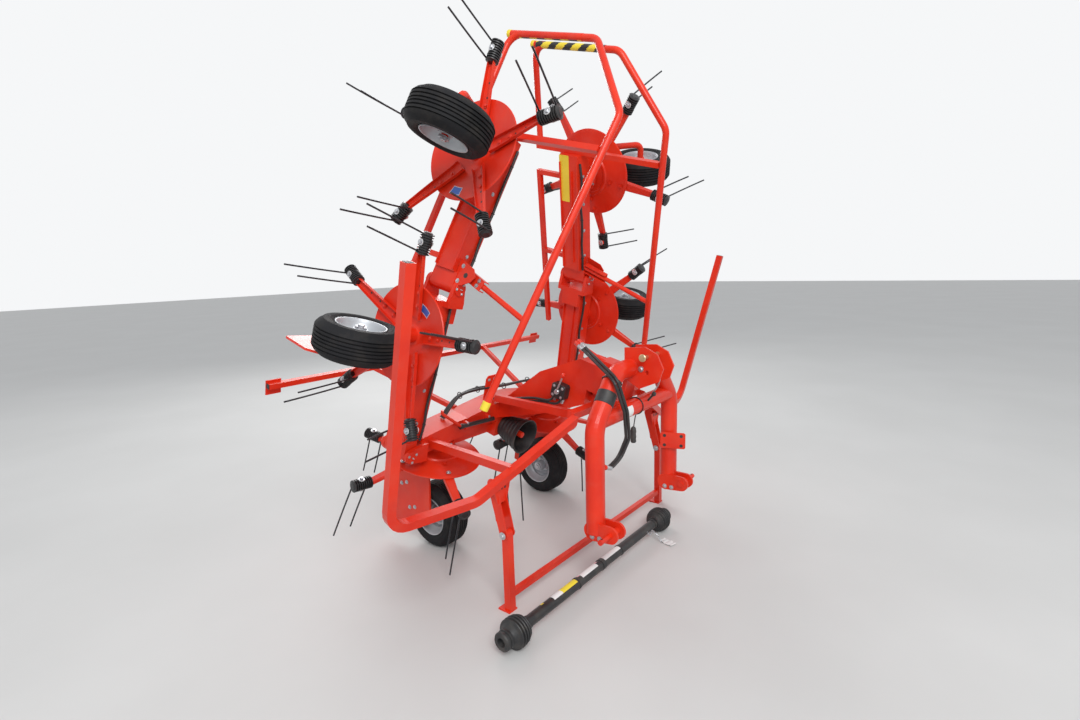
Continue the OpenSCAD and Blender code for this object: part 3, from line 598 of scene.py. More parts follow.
# %% Drive shaft
SHAFT = FLOOR @ moved(-0.300, 0.165, 0.076) @ turned("Y", 90)
CONE_AT, RIB_START, RIB_STEP = 0.640, 0.014, 0.0168
CONE_NECK = [(0.0285, -0.004), (0.034, -0.004), (0.037, 0.006), (0.047, 0.012)]
CONE_RIBS = (0.062, 0.070, 0.0735, 0.074, 0.073)
CONE_RIB = ((0.011, 0), (0.002, 0.003), (0, 0.006), (0.002, 0.010), (0.011, 0.014))
YOKE = [(0.056, 0.099), (0.041, 0.118), (0.045, 0.120), (0.046, 0.123), (0.046, 0.134), (0.041, 0.137),
        (0.041, 0.142), (0.045, 0.144), (0.045, 0.154), (0.040, 0.160), (0.022, 0.160), (0.019, 0.140),
        (0.001, 0.140)]


def guard_cone():
    ribs = []
    for k, r in enumerate(CONE_RIBS):
        ribs += [(r - down, RIB_START + RIB_STEP * k + on) for down, on in CONE_RIB]
    return lathe(CONE_NECK + ribs + YOKE, 40)


shape = Shape(SHAFT)
for over in (0, 180):
    shape.add(guard_cone(), turned("X", over) @ moved(0, 0, CONE_AT))
cones = piece("ribbed_cones", shape, PLASTIC, "shaft", 30)
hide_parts("shaft_cones")

shape = Shape(SHAFT)
for z, long in ((-0.221, 0.012), (0.004, 0.030), (0.206, 0.010), (-0.632, 0.020), (0.612, 0.020)):
    shape.add(lathe([(0.0278, z), (0.0308, z + 0.001), (0.0308, z + long - 0.001), (0.0278, z + long)], 32))
piece("tube_rings", shape, PLASTIC, "shaft")

LABELS = ((-0.426, 0.072, 0), (-0.354, 0.125, 1), (-0.200, 0.020, 2), (-0.180, 0.145, 0), (-0.035, 0.020, 2),
          (0.034, 0.168, 0), (-0.505, 0.020, 1))
LABEL_STEPS, LABEL_MIDDLE, LABEL_IN, LABEL_OUT = 16, 2.75, 0.0279, 0.0284
shape, n = Shape(SHAFT), LABEL_STEPS + 1
for z, long, mark in LABELS:
    wide = 2.1 if long > 0.03 else 0.5
    turns = [wide * (k / LABEL_STEPS - 0.5) + LABEL_MIDDLE for k in range(n)]
    around = [(r * math.cos(t), r * math.sin(t)) for r in (LABEL_IN, LABEL_OUT) for t in turns]
    points = [(x, y, z + h) for h in (0, long) for x, y in around]
    rows = ((0, n), (n, 3 * n), (3 * n, 2 * n))
    faces = [[a + k, a + k + 1, b + k + 1, b + k] for a, b in rows for k in range(LABEL_STEPS)]
    faces += [[0, n, 3 * n, 2 * n], [n - 1, 3 * n - 1, 4 * n - 1, 2 * n - 1]]
    shape.add((points, faces), mark=mark)
piece("blank_shaft_labels", shape, [WHITE, YELLOW, PINK], "shaft")

LINK_STEPS, LINK_ROUND, LINK_STRAIGHT, LINK_WIDE = 14, 0.0052, 0.0022, 0.0038
SHAFT_CHAINS = ([(0.262, 0.136, 0.068), (0.258, 0.100, 0.050), (0.262, 0.078, 0.022), (0.268, 0.066, 0.006)],
                [(0.20, 0.137, 0.078), (0.215, 0.128, 0.060), (0.24, 0.130, 0.058), (0.262, 0.136, 0.068)])
POUCH_COLS, POUCH_ROWS, POUCH_THICK = 13, 16, 0.0012


def chain(path, pitch=0.0105, r=0.0013):
    made, knots = [], smooth(path, 24)
    length, spots = 0.0, [knots[0]]
    for a, b in zip(knots, knots[1:]):
        length += (b - a).length
        if length >= pitch:
            spots.append(b)
            length = 0.0
    link = []
    for x, y in circle(1, LINK_STEPS):
        link.append((LINK_ROUND * x + math.copysign(LINK_STRAIGHT, x), LINK_WIDE * y, 0))
    for k, (a, b) in enumerate(zip(spots, spots[1:])):
        where = facing((a + b) / 2, b - a) @ turned("Z", 90 * (k % 2)) @ turned("Y", 90)
        points, faces = sweep(link, circle(r, 6), closed=True, side=(0, 0, 1))
        made.append(([where @ Vector(p) for p in points], faces))
    return made


def crumple(x, y):
    return 0.003 + 0.0022 * math.sin(1.9 * x + 0.7 * y) + 0.0018 * math.sin(1.3 * y)


shape = Shape(FLOOR)
for path in SHAFT_CHAINS:
    for link in chain(path):
        shape.add(link)
piece("shaft_chain", shape, ZINC, "shaft", 60)
shape = Shape(FLOOR @ moved(0.285, 0.040, 0.004) @ turned("Z", -12))
spots = [(x, y) for y in range(POUCH_ROWS) for x in range(POUCH_COLS)]
page = [(x * 0.0045 - 0.027, y * 0.006 - 0.045, crumple(x, y)) for x, y in spots]
shape.add(sheet(page, [(x, y, z - POUCH_THICK) for x, y, z in page], POUCH_COLS))
piece("paper_pouch", shape, WHITE, "shaft", 60)
print("shaft labels:", len(LABELS), "and chains:", len(SHAFT_CHAINS))

# %% [markdown]
# ## The guard bell
# A stiff rubber bell covers the splined input, open towards the tractor.
# Its lip is rolled, ribs run round it, and a red cap keeps dirt out of the splines.

# %% Guard bell
BELL = MACHINE @ moved(0, 1.235, 0.3453) @ turned("X", 90)
BELL_R, BELL_FLARE, BELL_LONG, BELL_WALL = 0.070, 0.045, 0.190, 0.006
BELL_RIBS, BELL_INSIDE = (0.02, 0.05, 0.08, 0.11, 0.14), (0.186, 0.14, 0.10, 0.06, 0.03, 0.010)
BELL_RIB = ((0, 0), (0.003, 0.003), (0.008, 0.003), (0.011, 0))
BELL_LIP = ((0.178, 0), (0.181, 0.004), (0.188, 0.004), (BELL_LONG, 0))
CAP = [(0.0180, 0.105), (0.0205, 0.106), (0.0205, 0.158), (0.0185, 0.163), (0.012, 0.165), (0.001, 0.165)]


def bell_r(z):
    return BELL_R + BELL_FLARE * z / BELL_LONG


shape = Shape(BELL)
outline = [(0.031, 0.0), (0.068, 0.0), (0.072, 0.004)]
for z in BELL_RIBS:
    outline += [(bell_r(z + on) + out, z + on) for on, out in BELL_RIB]
outline += [(bell_r(z) + out, z) for z, out in BELL_LIP] + [(bell_r(BELL_LONG) - BELL_WALL, 0.188)]
outline += [(bell_r(z) - BELL_WALL, z) for z in BELL_INSIDE]
shape.add(lathe(outline + [(0.031, 0.008)], 64, closed=True))
for k in range(4):
    shape.add(bolt(0.007, 0.006), turned("Z", 45 + 90 * k) @ moved(0.050, 0, 0.009), 1)
bell = piece("ribbed_bell", shape, [PLASTIC, ZINC], "frame", 26)
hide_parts("drive_bell")
shape = Shape(BELL)
shape.add(lathe(CAP, 28))
shape.add(ring(0.0205, 0.0018, 28), moved(0, 0, 0.110))
piece("input_cap", shape, RED, "frame")
print("bell lip radius", round(bell_r(BELL_LONG), 3))

# %% [markdown]
# ## Warning stripes and caps
# The hoops stick up high, so the inner sides of their top tubes carry black and yellow stripes.
# We make a thin sleeve round the tube and give each small face of it one of three finishes.
# The step from black to yellow moves round the tube as it moves along, which makes the stripes slant.
# Yellow caps close the tube's ends.

# %% Stripes
HOOP_R, HOOP_Z, STRIPE_EDGE = 0.019, HINGE_B.z, -0.2


def striped(start, end, r, pitch=0.11, rings=72, sides=24):
    start, end = Vector(start), Vector(end)
    length = (end - start).length
    marks = []
    for i in range(rings):
        for k in range(sides):
            along, around = (i + 0.5) / rings * length / pitch, (k + 0.5) / sides
            shown = math.cos(2 * math.pi * around) > STRIPE_EDGE
            marks.append(int(2 * (along + around)) % 2 if shown else 2)
    path = [start.lerp(end, k / rings) for k in range(rings + 1)]
    return sweep(path, circle(r, sides), side=(0, 0, 1)), marks + [2, 2]


for s in SIDES:
    shape = Shape(PANEL[s, 2])
    made, marks = striped((3.2282, 1.075, HOOP_Z), (3.2382, 1.560, HOOP_Z), HOOP_R + 0.0009)
    shape.add(made, mark=marks)
    shape.add(rod((1.284, 0.7451, HOOP_Z), (1.332, 0.7430, HOOP_Z), HOOP_R + 0.0022, 24, 0.003), mark=1)
    shape.add(rod((3.2376, 1.505, HOOP_Z), (3.2384, 1.580, HOOP_Z), HOOP_R + 0.0004, 28), mark=2)
    shape.add(rod((3.2384, 1.574, HOOP_Z), (3.2388, 1.602, HOOP_Z), HOOP_R + 0.0022, 28, 0.004), mark=1)
    piece(f"warning_stripes_{s}", shape, [BLACK, YELLOW, RED], f"outer_{s}")
print("stripes on", len(SIDES), "hoops")

# %% [markdown]
# ## Blank stickers
# A flat card would cut into a dish or float over a tube, so a sticker has to follow what is under it.
# We lay a small grid of points on that surface, lift it by less than a millimetre and close it underneath.
# The stickers carry only their colours.

# %% Stickers
DISH_BEND_R, DISH_BEND_Z, SLOPE_IN, SLOPE_OUT = 0.2, 0.015, 0.2625, 0.22
LIFT, SINK = 0.0007, -0.0002


def sticker(on, across, along, cols=13, rows=7):
    parts = [(i / (cols - 1) - 0.5, j / (rows - 1) - 0.5) for j in range(rows) for i in range(cols)]
    grid = [(across * u, along * v) for u, v in parts]
    return sheet([on(u, v, LIFT) for u, v in grid], [on(u, v, SINK) for u, v in grid], cols)


def on_dish(x, y):
    far, start = math.hypot(x, y), math.atan2(y, x)

    def on(u, v, h):
        r, t = far + v, start + u / far
        slope = SLOPE_OUT if r > DISH_BEND_R else SLOPE_IN
        low = DISH_BEND_Z - slope * (r - DISH_BEND_R)
        return Vector((r * math.cos(t), r * math.sin(t), low - h))

    return on


def on_tube(x, y, z, r):
    return lambda u, v, h: Vector((x + u, y - (r + h) * math.cos(v / r), z + (r + h) * math.sin(v / r)))


def two_tone(made, across, along, white):
    cells = [int(white(k % across, k // across)) for k in range(across * along)] * 2
    return cells + [0] * (len(made[1]) - len(cells))


for which, x, y in (("r3", -0.223, 0.003), ("r2", 0.153, -0.072)):
    made = sticker(on_dish(x, y), 0.067, 0.046, cols=25, rows=17)
    border = two_tone(made, 24, 16, lambda i, j: i in (0, 23) or j in (0, 15))
    shape = Shape(rotor_place(which)).add(made, mark=border)
    piece(f"blank_dish_sticker_{which}", shape, [BLUE, WHITE], f"spinner_{which}")
made = sticker(on_tube(-0.145, 0.105, 0.925, 0.045), 0.090, 0.062)
half = two_tone(made, 12, 6, lambda i, j: i > 4)
piece("blank_arch_sticker", Shape(FLOOR).add(made, mark=half), [BLUE, WHITE], "hitch")
shape = Shape(PANEL["l", 2])
shape.add(slab(rectangle(0.294, 0.075, 0.004), 0, 0.0009, 0.0003), moved(2.496, 1.3475, 0.4962))
piece("blank_yellow_panel", shape, YELLOW, "outer_l")
shape = Shape(PANEL["r", 1] @ facing((1.161, 1.324, 0.3404), (0, 0, -1), (0, 1, 0)))
shape.add(slab(rectangle(0.027, 0.050, 0.002), 0, 0.0008, 0.0003))
shape.add(slab([(-0.010, -0.004), (0.010, -0.004), (0, 0.015)], 0.0004, 0.0012, 0.0003), mark=1)
shape.add(slab(rectangle(0.021, 0.012, 0.001), 0.0004, 0.0012, 0.0003), moved(0, -0.015, 0), 2)
piece("blank_wing_label", shape, [YELLOW, BLACK, WHITE], "inner_r")
print("stickers follow their surfaces")

# %% [markdown]
# ## Hinge pins
# Each wing folds about one thick pin.
# A round keeper plate with three bolts holds the pin at both of its ends.
# A grease nipple stands in the middle, and it is turned in one go from its own small outline.

# %% Hinge pins
NIPPLE = [(0.0001, 0), (0.0045, 0), (0.0045, 0.004), (0.002, 0.006), (0.002, 0.009), (0.003, 0.011),
          (0.0015, 0.0135), (0.0001, 0.0135)]
KEEPER = [(0.0202, 0), (0.0365, 0), (0.038, 0.0015), (0.038, 0.0055), (0.0365, 0.007), (0.0202, 0.007)]
PIN_END = 0.113

for s in SIDES:
    for p, hinge in ((0, HINGE_A), (1, HINGE_B)):
        shape = Shape(PANEL[s, p])
        for end in (-1, 1):
            seat = facing((hinge.x, ROTOR_Y + end * PIN_END, hinge.z), (0, end, 0))
            shape.add(lathe(KEEPER, 36, closed=True), seat)
            shape.add(lathe(NIPPLE, 12), seat @ moved(0, 0, 0.0075), 1)
            for k in range(3):
                shape.add(bolt(0.0055, 0.0055), seat @ turned("Z", 30 + 120 * k) @ moved(0.029, 0, 0.0066), 1)
        piece(f"hinge_keepers_{s}{p + 1}", shape, [RED, ZINC], "frame" if p == 0 else f"inner_{s}")
print("keepers:", 2 * len(SIDES) * 2)

# %% [markdown]
# ## Wheel legs and rotor heads
# Four wheel legs are plates, with bolts in pairs and a big nut on the axle. The outer two are bent tubes.
# A nut on a washer keeps each wheel on its axle.
# Over the middle and the outer dishes the gear head has a flange with a ring of bolts, made by one loop.

# %% Legs and heads
LEG_BOLTS = ((0.253, 0.122), (0.208, 0.150), (0.154, -0.004), (0.109, 0.021))
LEG_GAP, LEG_WALL, AXLE_R = 0.024, 0.012, 0.0174
HEAD_R, HEAD_Z, HEAD_BOLTS, HEAD_RING = 0.080, 0.3440, 8, 0.089
FLANGE = [(HEAD_R - 0.002, 0), (0.096, 0), (0.098, 0.002), (0.098, 0.008), (0.096, 0.010),
          (HEAD_R - 0.002, 0.010)]

for which, (s, p) in SPOT.items():
    shape, hub, out = Shape(PANEL[s, p]), axle_spot(p), -1 if p == 1 else 1
    face = out * (TYRE_W / 2 + LEG_GAP)
    reach = TYRE_W / 2 - (0.012 if p == 2 else 0.020)
    tip = facing(hub - Vector((out * reach, 0, 0)), (-out, 0, 0))
    shape.add(bolt(0.0165, 0.012), tip, 1)
    shape.add(collar(AXLE_R, 0.027, -0.007, -0.0005), tip, 1)
    if p < 2:
        for dy, dz in LEG_BOLTS:
            back = facing(hub + Vector((face - LEG_WALL * out, dy, dz)), (-out, 0, 0))
            shape.add(bolt(0.0085, 0.009), facing(hub + Vector((face, dy, dz)), (out, 0, 0)), 1)
            shape.add(bolt(0.0085, 0.008), back, 1)
        shape.add(bolt(0.0175, 0.016), facing(hub + Vector((face, 0, 0)), (out, 0, 0)), 1)
    else:
        shape.add(collar(AXLE_R, 0.026, 0.058, 0.066), facing(hub, (1, 0, 0)))
    if p != 1:
        head = moved(ROTOR_X[p], ROTOR_Y, HEAD_Z)
        shape.add(lathe(FLANGE, 48, closed=True), head)
        for k in range(HEAD_BOLTS):
            turn = head @ turned("Z", 360 / HEAD_BOLTS * (k + 0.5))
            shape.add(bolt(0.006, 0.006), turn @ moved(HEAD_RING, 0, 0) @ turned("X", 180), 1)
            shape.add(bolt(0.006, 0.005), turn @ moved(HEAD_RING, 0, 0.010), 1)
    piece(f"leg_fittings_{which}", shape, [RED, ZINC], CARRIER[which])
print("leg bolts:", 2 * len(LEG_BOLTS) * sum(p < 2 for s, p in SPOT.values()))

# %% [markdown]
# ## Braces of the outer wings
# Where the hoop's brace starts, a channel wraps it and a gusset ties it to the wing.
# A channel is one thin outline drawn along its length, so it has real inner faces.

# %% Wing braces
CHANNEL = [(-0.030, -0.020), (0.030, -0.020), (0.030, 0.018), (0.025, 0.018), (0.025, -0.015),
           (-0.025, -0.015), (-0.025, 0.018), (-0.030, 0.018)]
BRACE_A, BRACE_B = Vector((1.895, 1.2362, 0.4603)), Vector((1.765, 0.729, 0.4403))
GUSSET = [(1.800, 1.236), (1.815, 1.170), (1.848, 1.118), (1.880, 1.100), (1.918, 1.128), (1.950, 1.236)]


# A thin black disc in a hole is painted shade for the hole's dark inside.
def hole_shade_disc(r):
    return coin(r, 0.0007, 20, 0.0001)


for s in SIDES:
    shape = Shape(PANEL[s, 2])
    seat = facing(BRACE_A + 0.03 * (BRACE_B - BRACE_A), BRACE_B - BRACE_A)
    shape.add(slab(CHANNEL, 0, 0.170, 0.001), seat)
    for x in (-0.014, 0.014):
        for z in (0.030, 0.135):
            shape.add(bolt(0.008, 0.008), seat @ facing((x, -0.020, z), (0, -1, 0)), 1)
    shape.add(slab(GUSSET, -0.034, -0.028, 0.0008), moved(0, 0, HINGE_B.z))
    # The black disc in the gusset's hole is painted shade.
    shape.add(hole_shade_disc(0.014), facing((1.872, 1.165, HINGE_B.z - 0.0340), (0, 0, -1)), 2)
    for x, y in ((1.832, 1.205), (1.915, 1.205)):
        shape.add(bolt(0.008, 0.007), facing((x, y, HINGE_B.z - 0.034), (0, 0, -1)), 1)
    piece(f"wing_brace_{s}", shape, [RED, ZINC, BLACK], f"outer_{s}")
print("wing braces:", len(SIDES))

# %% [markdown]
# ## Edges of the wing beams
# A wing beam is folded from sheet, and the fold leaves flanges that run along its length.
# They catch the light as long thin lines, so they are worth their few faces.
# A black hose lies beside one flange, held by clips.

# %% Wing flanges
BEAM_RUNS = {1: (0.905, 1.700, 0.3403), 2: (1.880, 2.600, 0.3843)}
FLANGE_Y, FLANGE_TALL, BEAM_TALL, RIDGE_END = 0.067, 0.012, 0.112, 0.05

for s in SIDES:
    for p, (start, end, low) in BEAM_RUNS.items():
        shape, top, long = Shape(PANEL[s, p]), low + BEAM_TALL, end - start
        for y in (-FLANGE_Y, FLANGE_Y):
            for z in (low - FLANGE_TALL, top):
                strip = [(start, -0.003), (end, -0.003), (end, 0.003), (start, 0.003)]
                shape.add(slab(strip, z, z + FLANGE_TALL, 0.0008), moved(0, ROTOR_Y + y, 0))
        a, b = start + RIDGE_END, end - RIDGE_END
        ridge = slab([(a, -0.002), (b, -0.002), (b, 0.002), (a, 0.002)], top, top + FLANGE_TALL, 0.0006)
        shape.add(ridge, moved(0, ROTOR_Y - 0.022, 0))
        for k in range(4):
            spot = (start + (k + 0.5) * long / 4, ROTOR_Y - 0.070, low + 0.056)
            shape.add(bolt(0.007, 0.006), facing(spot, (0, -1, 0)), 1)
        line = []
        for k in range(9):
            y = ROTOR_Y - 0.082 - 0.004 * math.sin(2.1 * k)
            line.append((start + long * k / 8, y, low + 0.096 + 0.003 * math.sin(1.7 * k)))
        shape.add(tube(smooth(line, 5), 0.0075, 12), mark=2)
        for k in (1, 4, 7):
            shape.add(ring(0.0085, 0.0025, 16), facing(line[k], (1, 0, 0)), 3)
        wing = "inner" if p == 1 else "outer"
        piece(f"wing_flanges_{s}{p + 1}", shape, [RED, ZINC, HOSE, BLACK], f"{wing}_{s}")
print("flanges on", len(SIDES) * len(BEAM_RUNS), "beams")

# %% [markdown]
# ## Hoses, valve and rods on the middle frame
# Oil for the folding rams runs through thin hoses over the beam, which hang between their clips.
# A smooth curve through a few measured points gives each hose its sag.
# The valve stands on the goose neck's right flank, with a hand lever.

# %% Beam fittings
BEAM_HOSE = [(-0.505, 1.31, 0.492), (-0.455, 1.31, 0.560), (-0.381, 1.31, 0.621), (-0.228, 1.31, 0.629),
             (0.027, 1.31, 0.608), (0.277, 1.31, 0.598), (0.475, 1.31, 0.555), (0.545, 1.30, 0.490)]
NEXT_HOSE = [(x, y + 0.020, z - 0.006 * (i % 3)) for i, (x, y, z) in enumerate(BEAM_HOSE)]
KNOB = [(0.016, 0), (0.016, 0.010), (0.012, 0.014), (0.012, 0.020), (0.0001, 0.020)]
VALVE_PORT = [(0.013, 0), (0.013, 0.012), (0.010, 0.014), (0.010, 0.026), (0.0001, 0.026)]
LEVER_END = [(0.0001, 0), (0.008, 0.002), (0.0125, 0.012), (0.012, 0.024), (0.006, 0.032), (0.0001, 0.033)]
LOCK_BEND = [(-0.625, 1.205, 0.620), (-0.625, 1.205, 0.602), (-0.612, 1.205, 0.590), (-0.449, 1.205, 0.470)]
TAB = [(-0.050, 0), (0.050, 0), (0.050, 0.140), (0.034, 0.170), (-0.034, 0.170), (-0.050, 0.150)]

shape = Shape(MACHINE)
for path in (BEAM_HOSE, NEXT_HOSE):
    shape.add(tube(smooth(path, 8), 0.0085, 12))
for port, low in ((0.745, 0.0), (0.800, 0.004)):
    path = [(-0.128, port, 0.765), (-0.130, port + 0.04, 0.725), (-0.120 - low, port + 0.16, 0.690),
            (-0.116 - low, port + 0.34, 0.610), (-0.118 - low, port + 0.47, 0.560)]
    shape.add(tube(smooth(path, 8), 0.0075, 12))
clips = ((-0.381, 0.616), (-0.228, 0.626), (0.027, 0.600), (0.277, 0.595))
for x, z in clips:
    shape.add(ring(0.0195, 0.0028, 20), moved(x, 1.320, z) @ turned("Y", 90), 1)
piece("oil_hoses", shape, [HOSE, BLACK], "frame")

shape = Shape(MACHINE)
block = facing((-0.095, 0.772, 0.812), (-1, 0, 0))
shape.add(slab(rectangle(0.096, 0.090, 0.010), 0, 0.056, 0.003), block)
for x, y in ((-0.030, 0.028), (0.030, 0.028), (-0.030, -0.028), (0.030, -0.028)):
    shape.add(bolt(0.006, 0.006), block @ moved(x, y, 0.056), 1)
shape.add(lathe(KNOB, 24), block @ moved(0, 0, 0.055), 1)
for x in (-0.028, 0.027):
    shape.add(lathe(VALVE_PORT, 6), block @ facing((x, -0.044, 0.028), (0, -1, 0)), 1)
lever = block @ moved(0, 0, 0.068)
shape.add(rod((0, 0, 0), (0.030, 0.105, 0.010), 0.005, 10, 0.001), lever, 1)
shape.add(lathe(LEVER_END, 20), lever @ facing((0.029, 0.100, 0.0097), (0.27, 0.96, 0.09)), 2)
piece("fold_valve", shape, [BLACK, ZINC, RED], "frame")

shape = Shape(MACHINE)
shape.add(tube(LOCK_BEND, 0.009, 14))
shape.add(rod((-0.452, 1.205, 0.4705), (-0.161, 1.205, 0.453), 0.0135, 18, 0.002), mark=1)
shape.add(rod((-0.462, 1.205, 0.472), (-0.440, 1.205, 0.4695), 0.0165, 18, 0.002), mark=1)
for x in (-0.40, -0.21):
    shape.add(slab(rectangle(0.022, 0.050, 0.004), 0, 0.034, 0.001), facing((x, 1.2355, 0.462), (0, -1, 0)))
    shape.add(bolt(0.006, 0.006), facing((x, 1.2015, 0.480), (0, -1, 0)), 2)
shape.add(slab(TAB, -0.004, 0.004, 0.001), facing((-0.120, 1.310, 0.538), (0, -1, 0)))
for x, z in ((-0.145, 0.680), (-0.095, 0.680), (-0.120, 0.600)):
    shape.add(bolt(0.008, 0.008), facing((x, 1.306, z), (0, -1, 0)), 2)
piece("lock_rod", shape, [RED, BLACK, ZINC], "frame")
print("hose clips:", len(clips))

# %% [markdown]
# ## Open tube ends
# A sawn square tube shows a dark inside and a thin wall.
# A dark plate that sits a little under the rim gives both: its black is painted shade for the open inside.

# %% Tube ends
shape = Shape(MACHINE)
for sign in SIDES.values():
    top = moved(sign * 1.4438, 0.6449, 1.6292) @ turned("Z", sign * 8)
    shape.add(slab(rectangle(0.035, 0.035, 0.003), 0, 0.0016, 0.0003), top)
    # This black plate is painted shade for the tube's open inside.
    end_shade_seat = facing((sign * 1.2298, 2.0, 0.5793), (sign, 0, 0))
    shape.add(slab(rectangle(0.030, 0.030, 0.003), 0, 0.004, 0.001), end_shade_seat)
piece("tube_end_shade", shape, PLASTIC, "frame")
print("plugs:", 2 * len(SIDES))

# %% [markdown]
# ## The headstock's fittings
# The arch carries the small things that a driver uses: the top link's pin on its chain,
# the cord with a handle, the rings that keep the hoses tidy and a plate with four holes.
# The holes are thin black discs, painted shade for their dark insides.
# Weld beads run round the tubes where plates and tubes meet, as thin rings.

# %% Headstock fittings
ARCH_Y, CROWN_Z, SLOPE = 0.105, 1.150, Vector((-0.2045, 0, -0.250)).normalized()
BAND, BAND_HALF, HOSE_GAP = Vector((-0.315, ARCH_Y, 1.0278)), 0.035, 0.018
PIN_CHAIN = [(0.020, -0.014, 1.210), (0.030, -0.030, 1.140), (0.048, -0.014, 1.060), (0.075, 0.038, 0.990),
             (0.090, 0.064, 0.966)]
CORD = [(-0.002, ARCH_Y - 0.004, 0.882), (-0.012, ARCH_Y - 0.002, 0.850), (-0.024, ARCH_Y, 0.800)]
CORD_GRIP = [(0.0001, 0), (0.012, 0), (0.016, 0.006), (0.0145, 0.020), (0.0165, 0.034), (0.0145, 0.050),
             (0.0165, 0.066), (0.014, 0.084), (0.007, 0.092), (0.0001, 0.092)]
BUTTON = [(0.0001, 0), (0.008, 0.001), (0.013, 0.009), (0.013, 0.015), (0.008, 0.023), (0.0001, 0.024)]
HOSE_ENDS = (((-0.345, 0.105, 0.672), (-0.300, 0.100, 0.655), (0, -1, 0), True),
             ((-0.150, 0.376, 1.264), (-0.330, 0.040, 1.130), (0.7, -0.5, 0.5), False))

shape = Shape(FLOOR)
shape.add(rod((-0.120, 0, 1.219), (0.090, 0, 1.219), 0.0125, 20, 0.002))
shape.add(rod((-0.1205, 0, 1.219), (-0.112, 0, 1.219), 0.0205, 24, 0.002))
shape.add(ring(0.020, 0.0022, 24), facing((0.082, 0.012, 1.206), (0.2, 0.9, 0.3)), 1)
shape.add(bolt(0.011, 0.011), facing((-0.068, 0.034, 1.150), (-1, 0, 0)), 1)
shape.add(bolt(0.011, 0.011), facing((0.068, 0.034, 1.150), (1, 0, 0)), 1)
for link in chain(PIN_CHAIN, 0.0125, 0.0018):
    shape.add(link, mark=1)
piece("top_pin_and_chain", shape, [PASSIVE, ZINC], "hitch")

shape = Shape(FLOOR)
shape.add(ring(0.0515, 0.0045, 36), facing((-0.249, ARCH_Y, 1.1085), SLOPE))
shape.add(rod(BAND - BAND_HALF * SLOPE, BAND + BAND_HALF * SLOPE, 0.0522, 36, 0.002))
shape.add(ring(0.0470, 0.0040, 36), facing((0.000, ARCH_Y, 0.925), (1, 0, 0)))
shape.add(tube(smooth(CORD, 6), 0.0032, 8))
shape.add(lathe(CORD_GRIP, 24), moved(-0.025, ARCH_Y, 0.718))
shape.add(rod((0.070, 0.066, 0.945), (0.070, 0.030, 0.985), 0.006, 12, 0.001))
shape.add(lathe(BUTTON, 20), facing((0.070, 0.036, 0.978), (0, -0.66, 0.75)))
piece("arch_rings_and_handle", shape, PLASTIC, "hitch")

shape = Shape(FLOOR)
for x in (-0.0700, -0.0540, 0.0540, 0.0700):
    shape.add(ring(0.0500, 0.0030, 40), facing((x, ARCH_Y, CROWN_Z), (1, 0, 0)))
for sign in SIDES.values():
    for out in (-1, 1):
        for y in (0.060, 0.105):
            spot = (sign * (0.4125 + 0.043 * out), y, 0.330)
            shape.add(bolt(0.009, 0.009), facing(spot, (sign * out, 0, 0)), 1)
plate = facing((0.366, 0.052, 0.634), (-0.94, -0.34, 0))
shape.add(slab(rectangle(0.150, 0.100, 0.008), -0.004, 0.004, 0.001), plate)
# Each hole is a thin black disc of painted shade.
for x in (-0.050, 0.050):
    for y in (-0.030, 0.030):
        shape.add(hole_shade_disc(0.010), plate @ moved(x, y, 0.0038), 2)
piece("headstock_fittings", shape, [RED, ZINC, BLACK], "hitch")

shape = Shape(FLOOR)
for k in (0, 1):
    for tip, back, aside, ringed in HOSE_ENDS:
        side = Vector(aside) * HOSE_GAP * k
        tip, back = Vector(tip) + side, Vector(back) + side
        way = (back - tip).normalized()
        shape.add(rod(tip - 0.002 * way, tip + 0.018 * way, 0.0138, 6, 0.001))
        shape.add(rod(tip + 0.018 * way, tip + 0.046 * way, 0.0112, 20, 0.001))
        if ringed:
            shape.add(ring(0.0142, 0.0026, 24), facing(tip - 0.020 * way, way), 1)
piece("hose_couplers", shape, [ZINC, RED], "hitch")

# Black rods in the lower hitch pins are painted shade for the pins' cross holes.
shape = Shape(FLOOR)
for sign in SIDES.values():
    shape.add(rod((sign * 0.529, 0, 0.3488), (sign * 0.529, 0, 0.3772), 0.0055, 14))
piece("pin_cross_hole_shade", shape, BLACK, "hitch")
print("hose ends:", 2 * len(HOSE_ENDS))
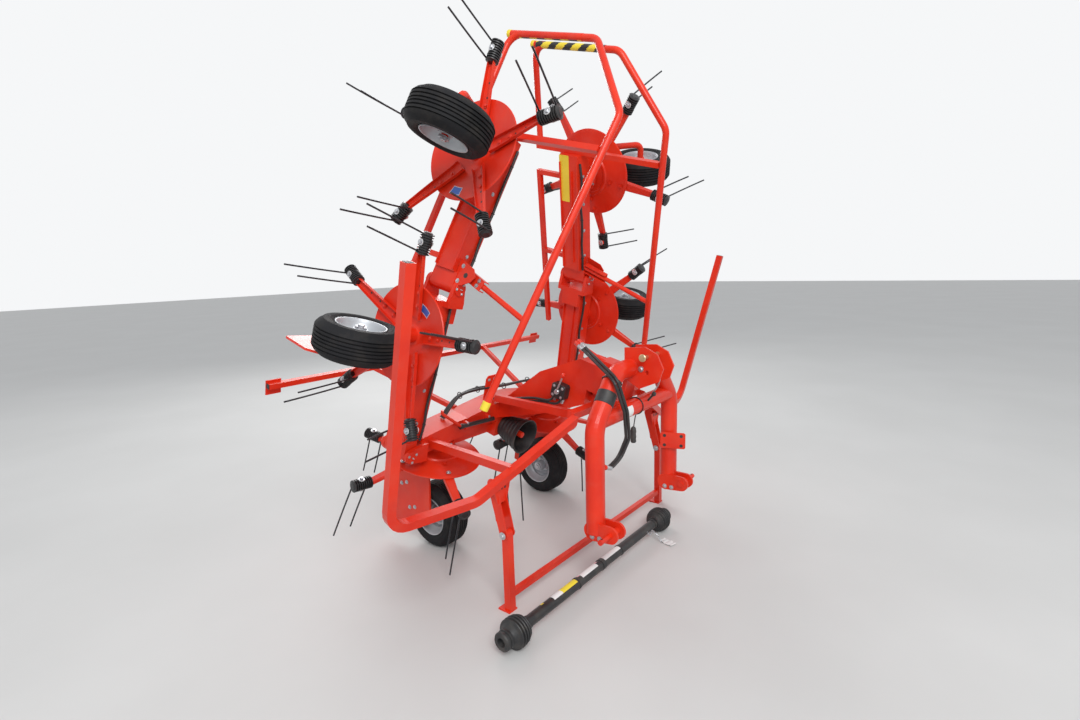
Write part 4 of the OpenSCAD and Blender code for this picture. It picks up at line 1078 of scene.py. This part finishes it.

# %% [markdown]
# ## The stand's pins
# Each leg of the stand turns on a pin with a head and a washer at each end.
# The plate over it has three slots, whose dark insides are thin black inlays of painted shade.

# %% Stand pins
STAND_X = 0.806
shape = Shape(FLOOR)
for sign in SIDES.values():
    for dx in (-0.0352, 0.0352):
        end = (sign * STAND_X + dx, 0.372, 0.415)
        shape.add(bolt(0.0125, 0.010), facing(end, (dx, 0, 0)))
    # Each slot is a thin black slab, painted shade for the slot's dark inside.
    for dx in (-0.022, 0, 0.022):
        slot_shade_seat = facing((sign * STAND_X + dx, 0.3961, 0.648), (0, -1, 0))
        shape.add(slab(rectangle(0.011, 0.020, 0.004), 0, 0.0007, 0.0002), slot_shade_seat, 1)
piece("stand_pins", shape, [ZINC, BLACK], "frame")
print("stand pins:", len(SIDES))

# %% [markdown]
# ## Floor and light
# A pale floor and two wide, soft lamps show the shapes without hard shadows.
# The sky adds a soft grey light, and it is nearly white only for the camera and for reflections.

# %% Stage
bpy.context.scene.view_settings.view_transform = "Standard"
ground = bpy.data.meshes.new("floor")
ground.from_pydata([(-40, -40, 0), (40, -40, 0), (40, 40, 0), (-40, 40, 0)], [], [[0, 1, 2, 3]])
floor = bpy.data.objects.new("floor", ground)
bpy.context.scene.collection.objects.link(floor)
pale = finish("pale_floor", (0.62, 0.615, 0.60), (0.58, 0.575, 0.56), (0.6, 0.75),
              grain=30, bump=0.02, patch=0.8)
ground.materials.append(pale)

world = bpy.data.worlds.new("soft_sky")
bpy.context.scene.world = world
world.use_nodes = True
sky, wires = world.node_tree.nodes, world.node_tree.links
path = sky.new("ShaderNodeLightPath")
seen = sky.new("ShaderNodeMath")
seen.operation = "MAXIMUM"
wires.new(path.outputs["Is Camera Ray"], seen.inputs[0])
wires.new(path.outputs["Is Glossy Ray"], seen.inputs[1])
tint = sky.new("ShaderNodeMix")
tint.data_type = "RGBA"
tint.inputs[6].default_value = (0.62, 0.64, 0.67, 1)
tint.inputs[7].default_value = (0.92, 0.93, 0.94, 1)
wires.new(seen.outputs[0], tint.inputs["Factor"])
wires.new(tint.outputs[2], sky["Background"].inputs["Color"])


def lamp(name, spot, aim, size, watts):
    light = bpy.data.lights.new(name, "AREA")
    light.shape, light.size, light.energy = "DISK", size, watts
    thing = bpy.data.objects.new(name, light)
    bpy.context.scene.collection.objects.link(thing)
    thing.location = spot
    thing.rotation_euler = (Vector(aim) - Vector(spot)).to_track_quat("-Z", "Y").to_euler()


lamp("key_lamp", (-4.5, -5.0, 5.5), (0, 0, 1.2), 4.0, 400)
lamp("back_lamp", (3.5, 5.0, 5.0), (0, 0, 1.4), 4.0, 220)
print("lamps:", len(bpy.data.lights))
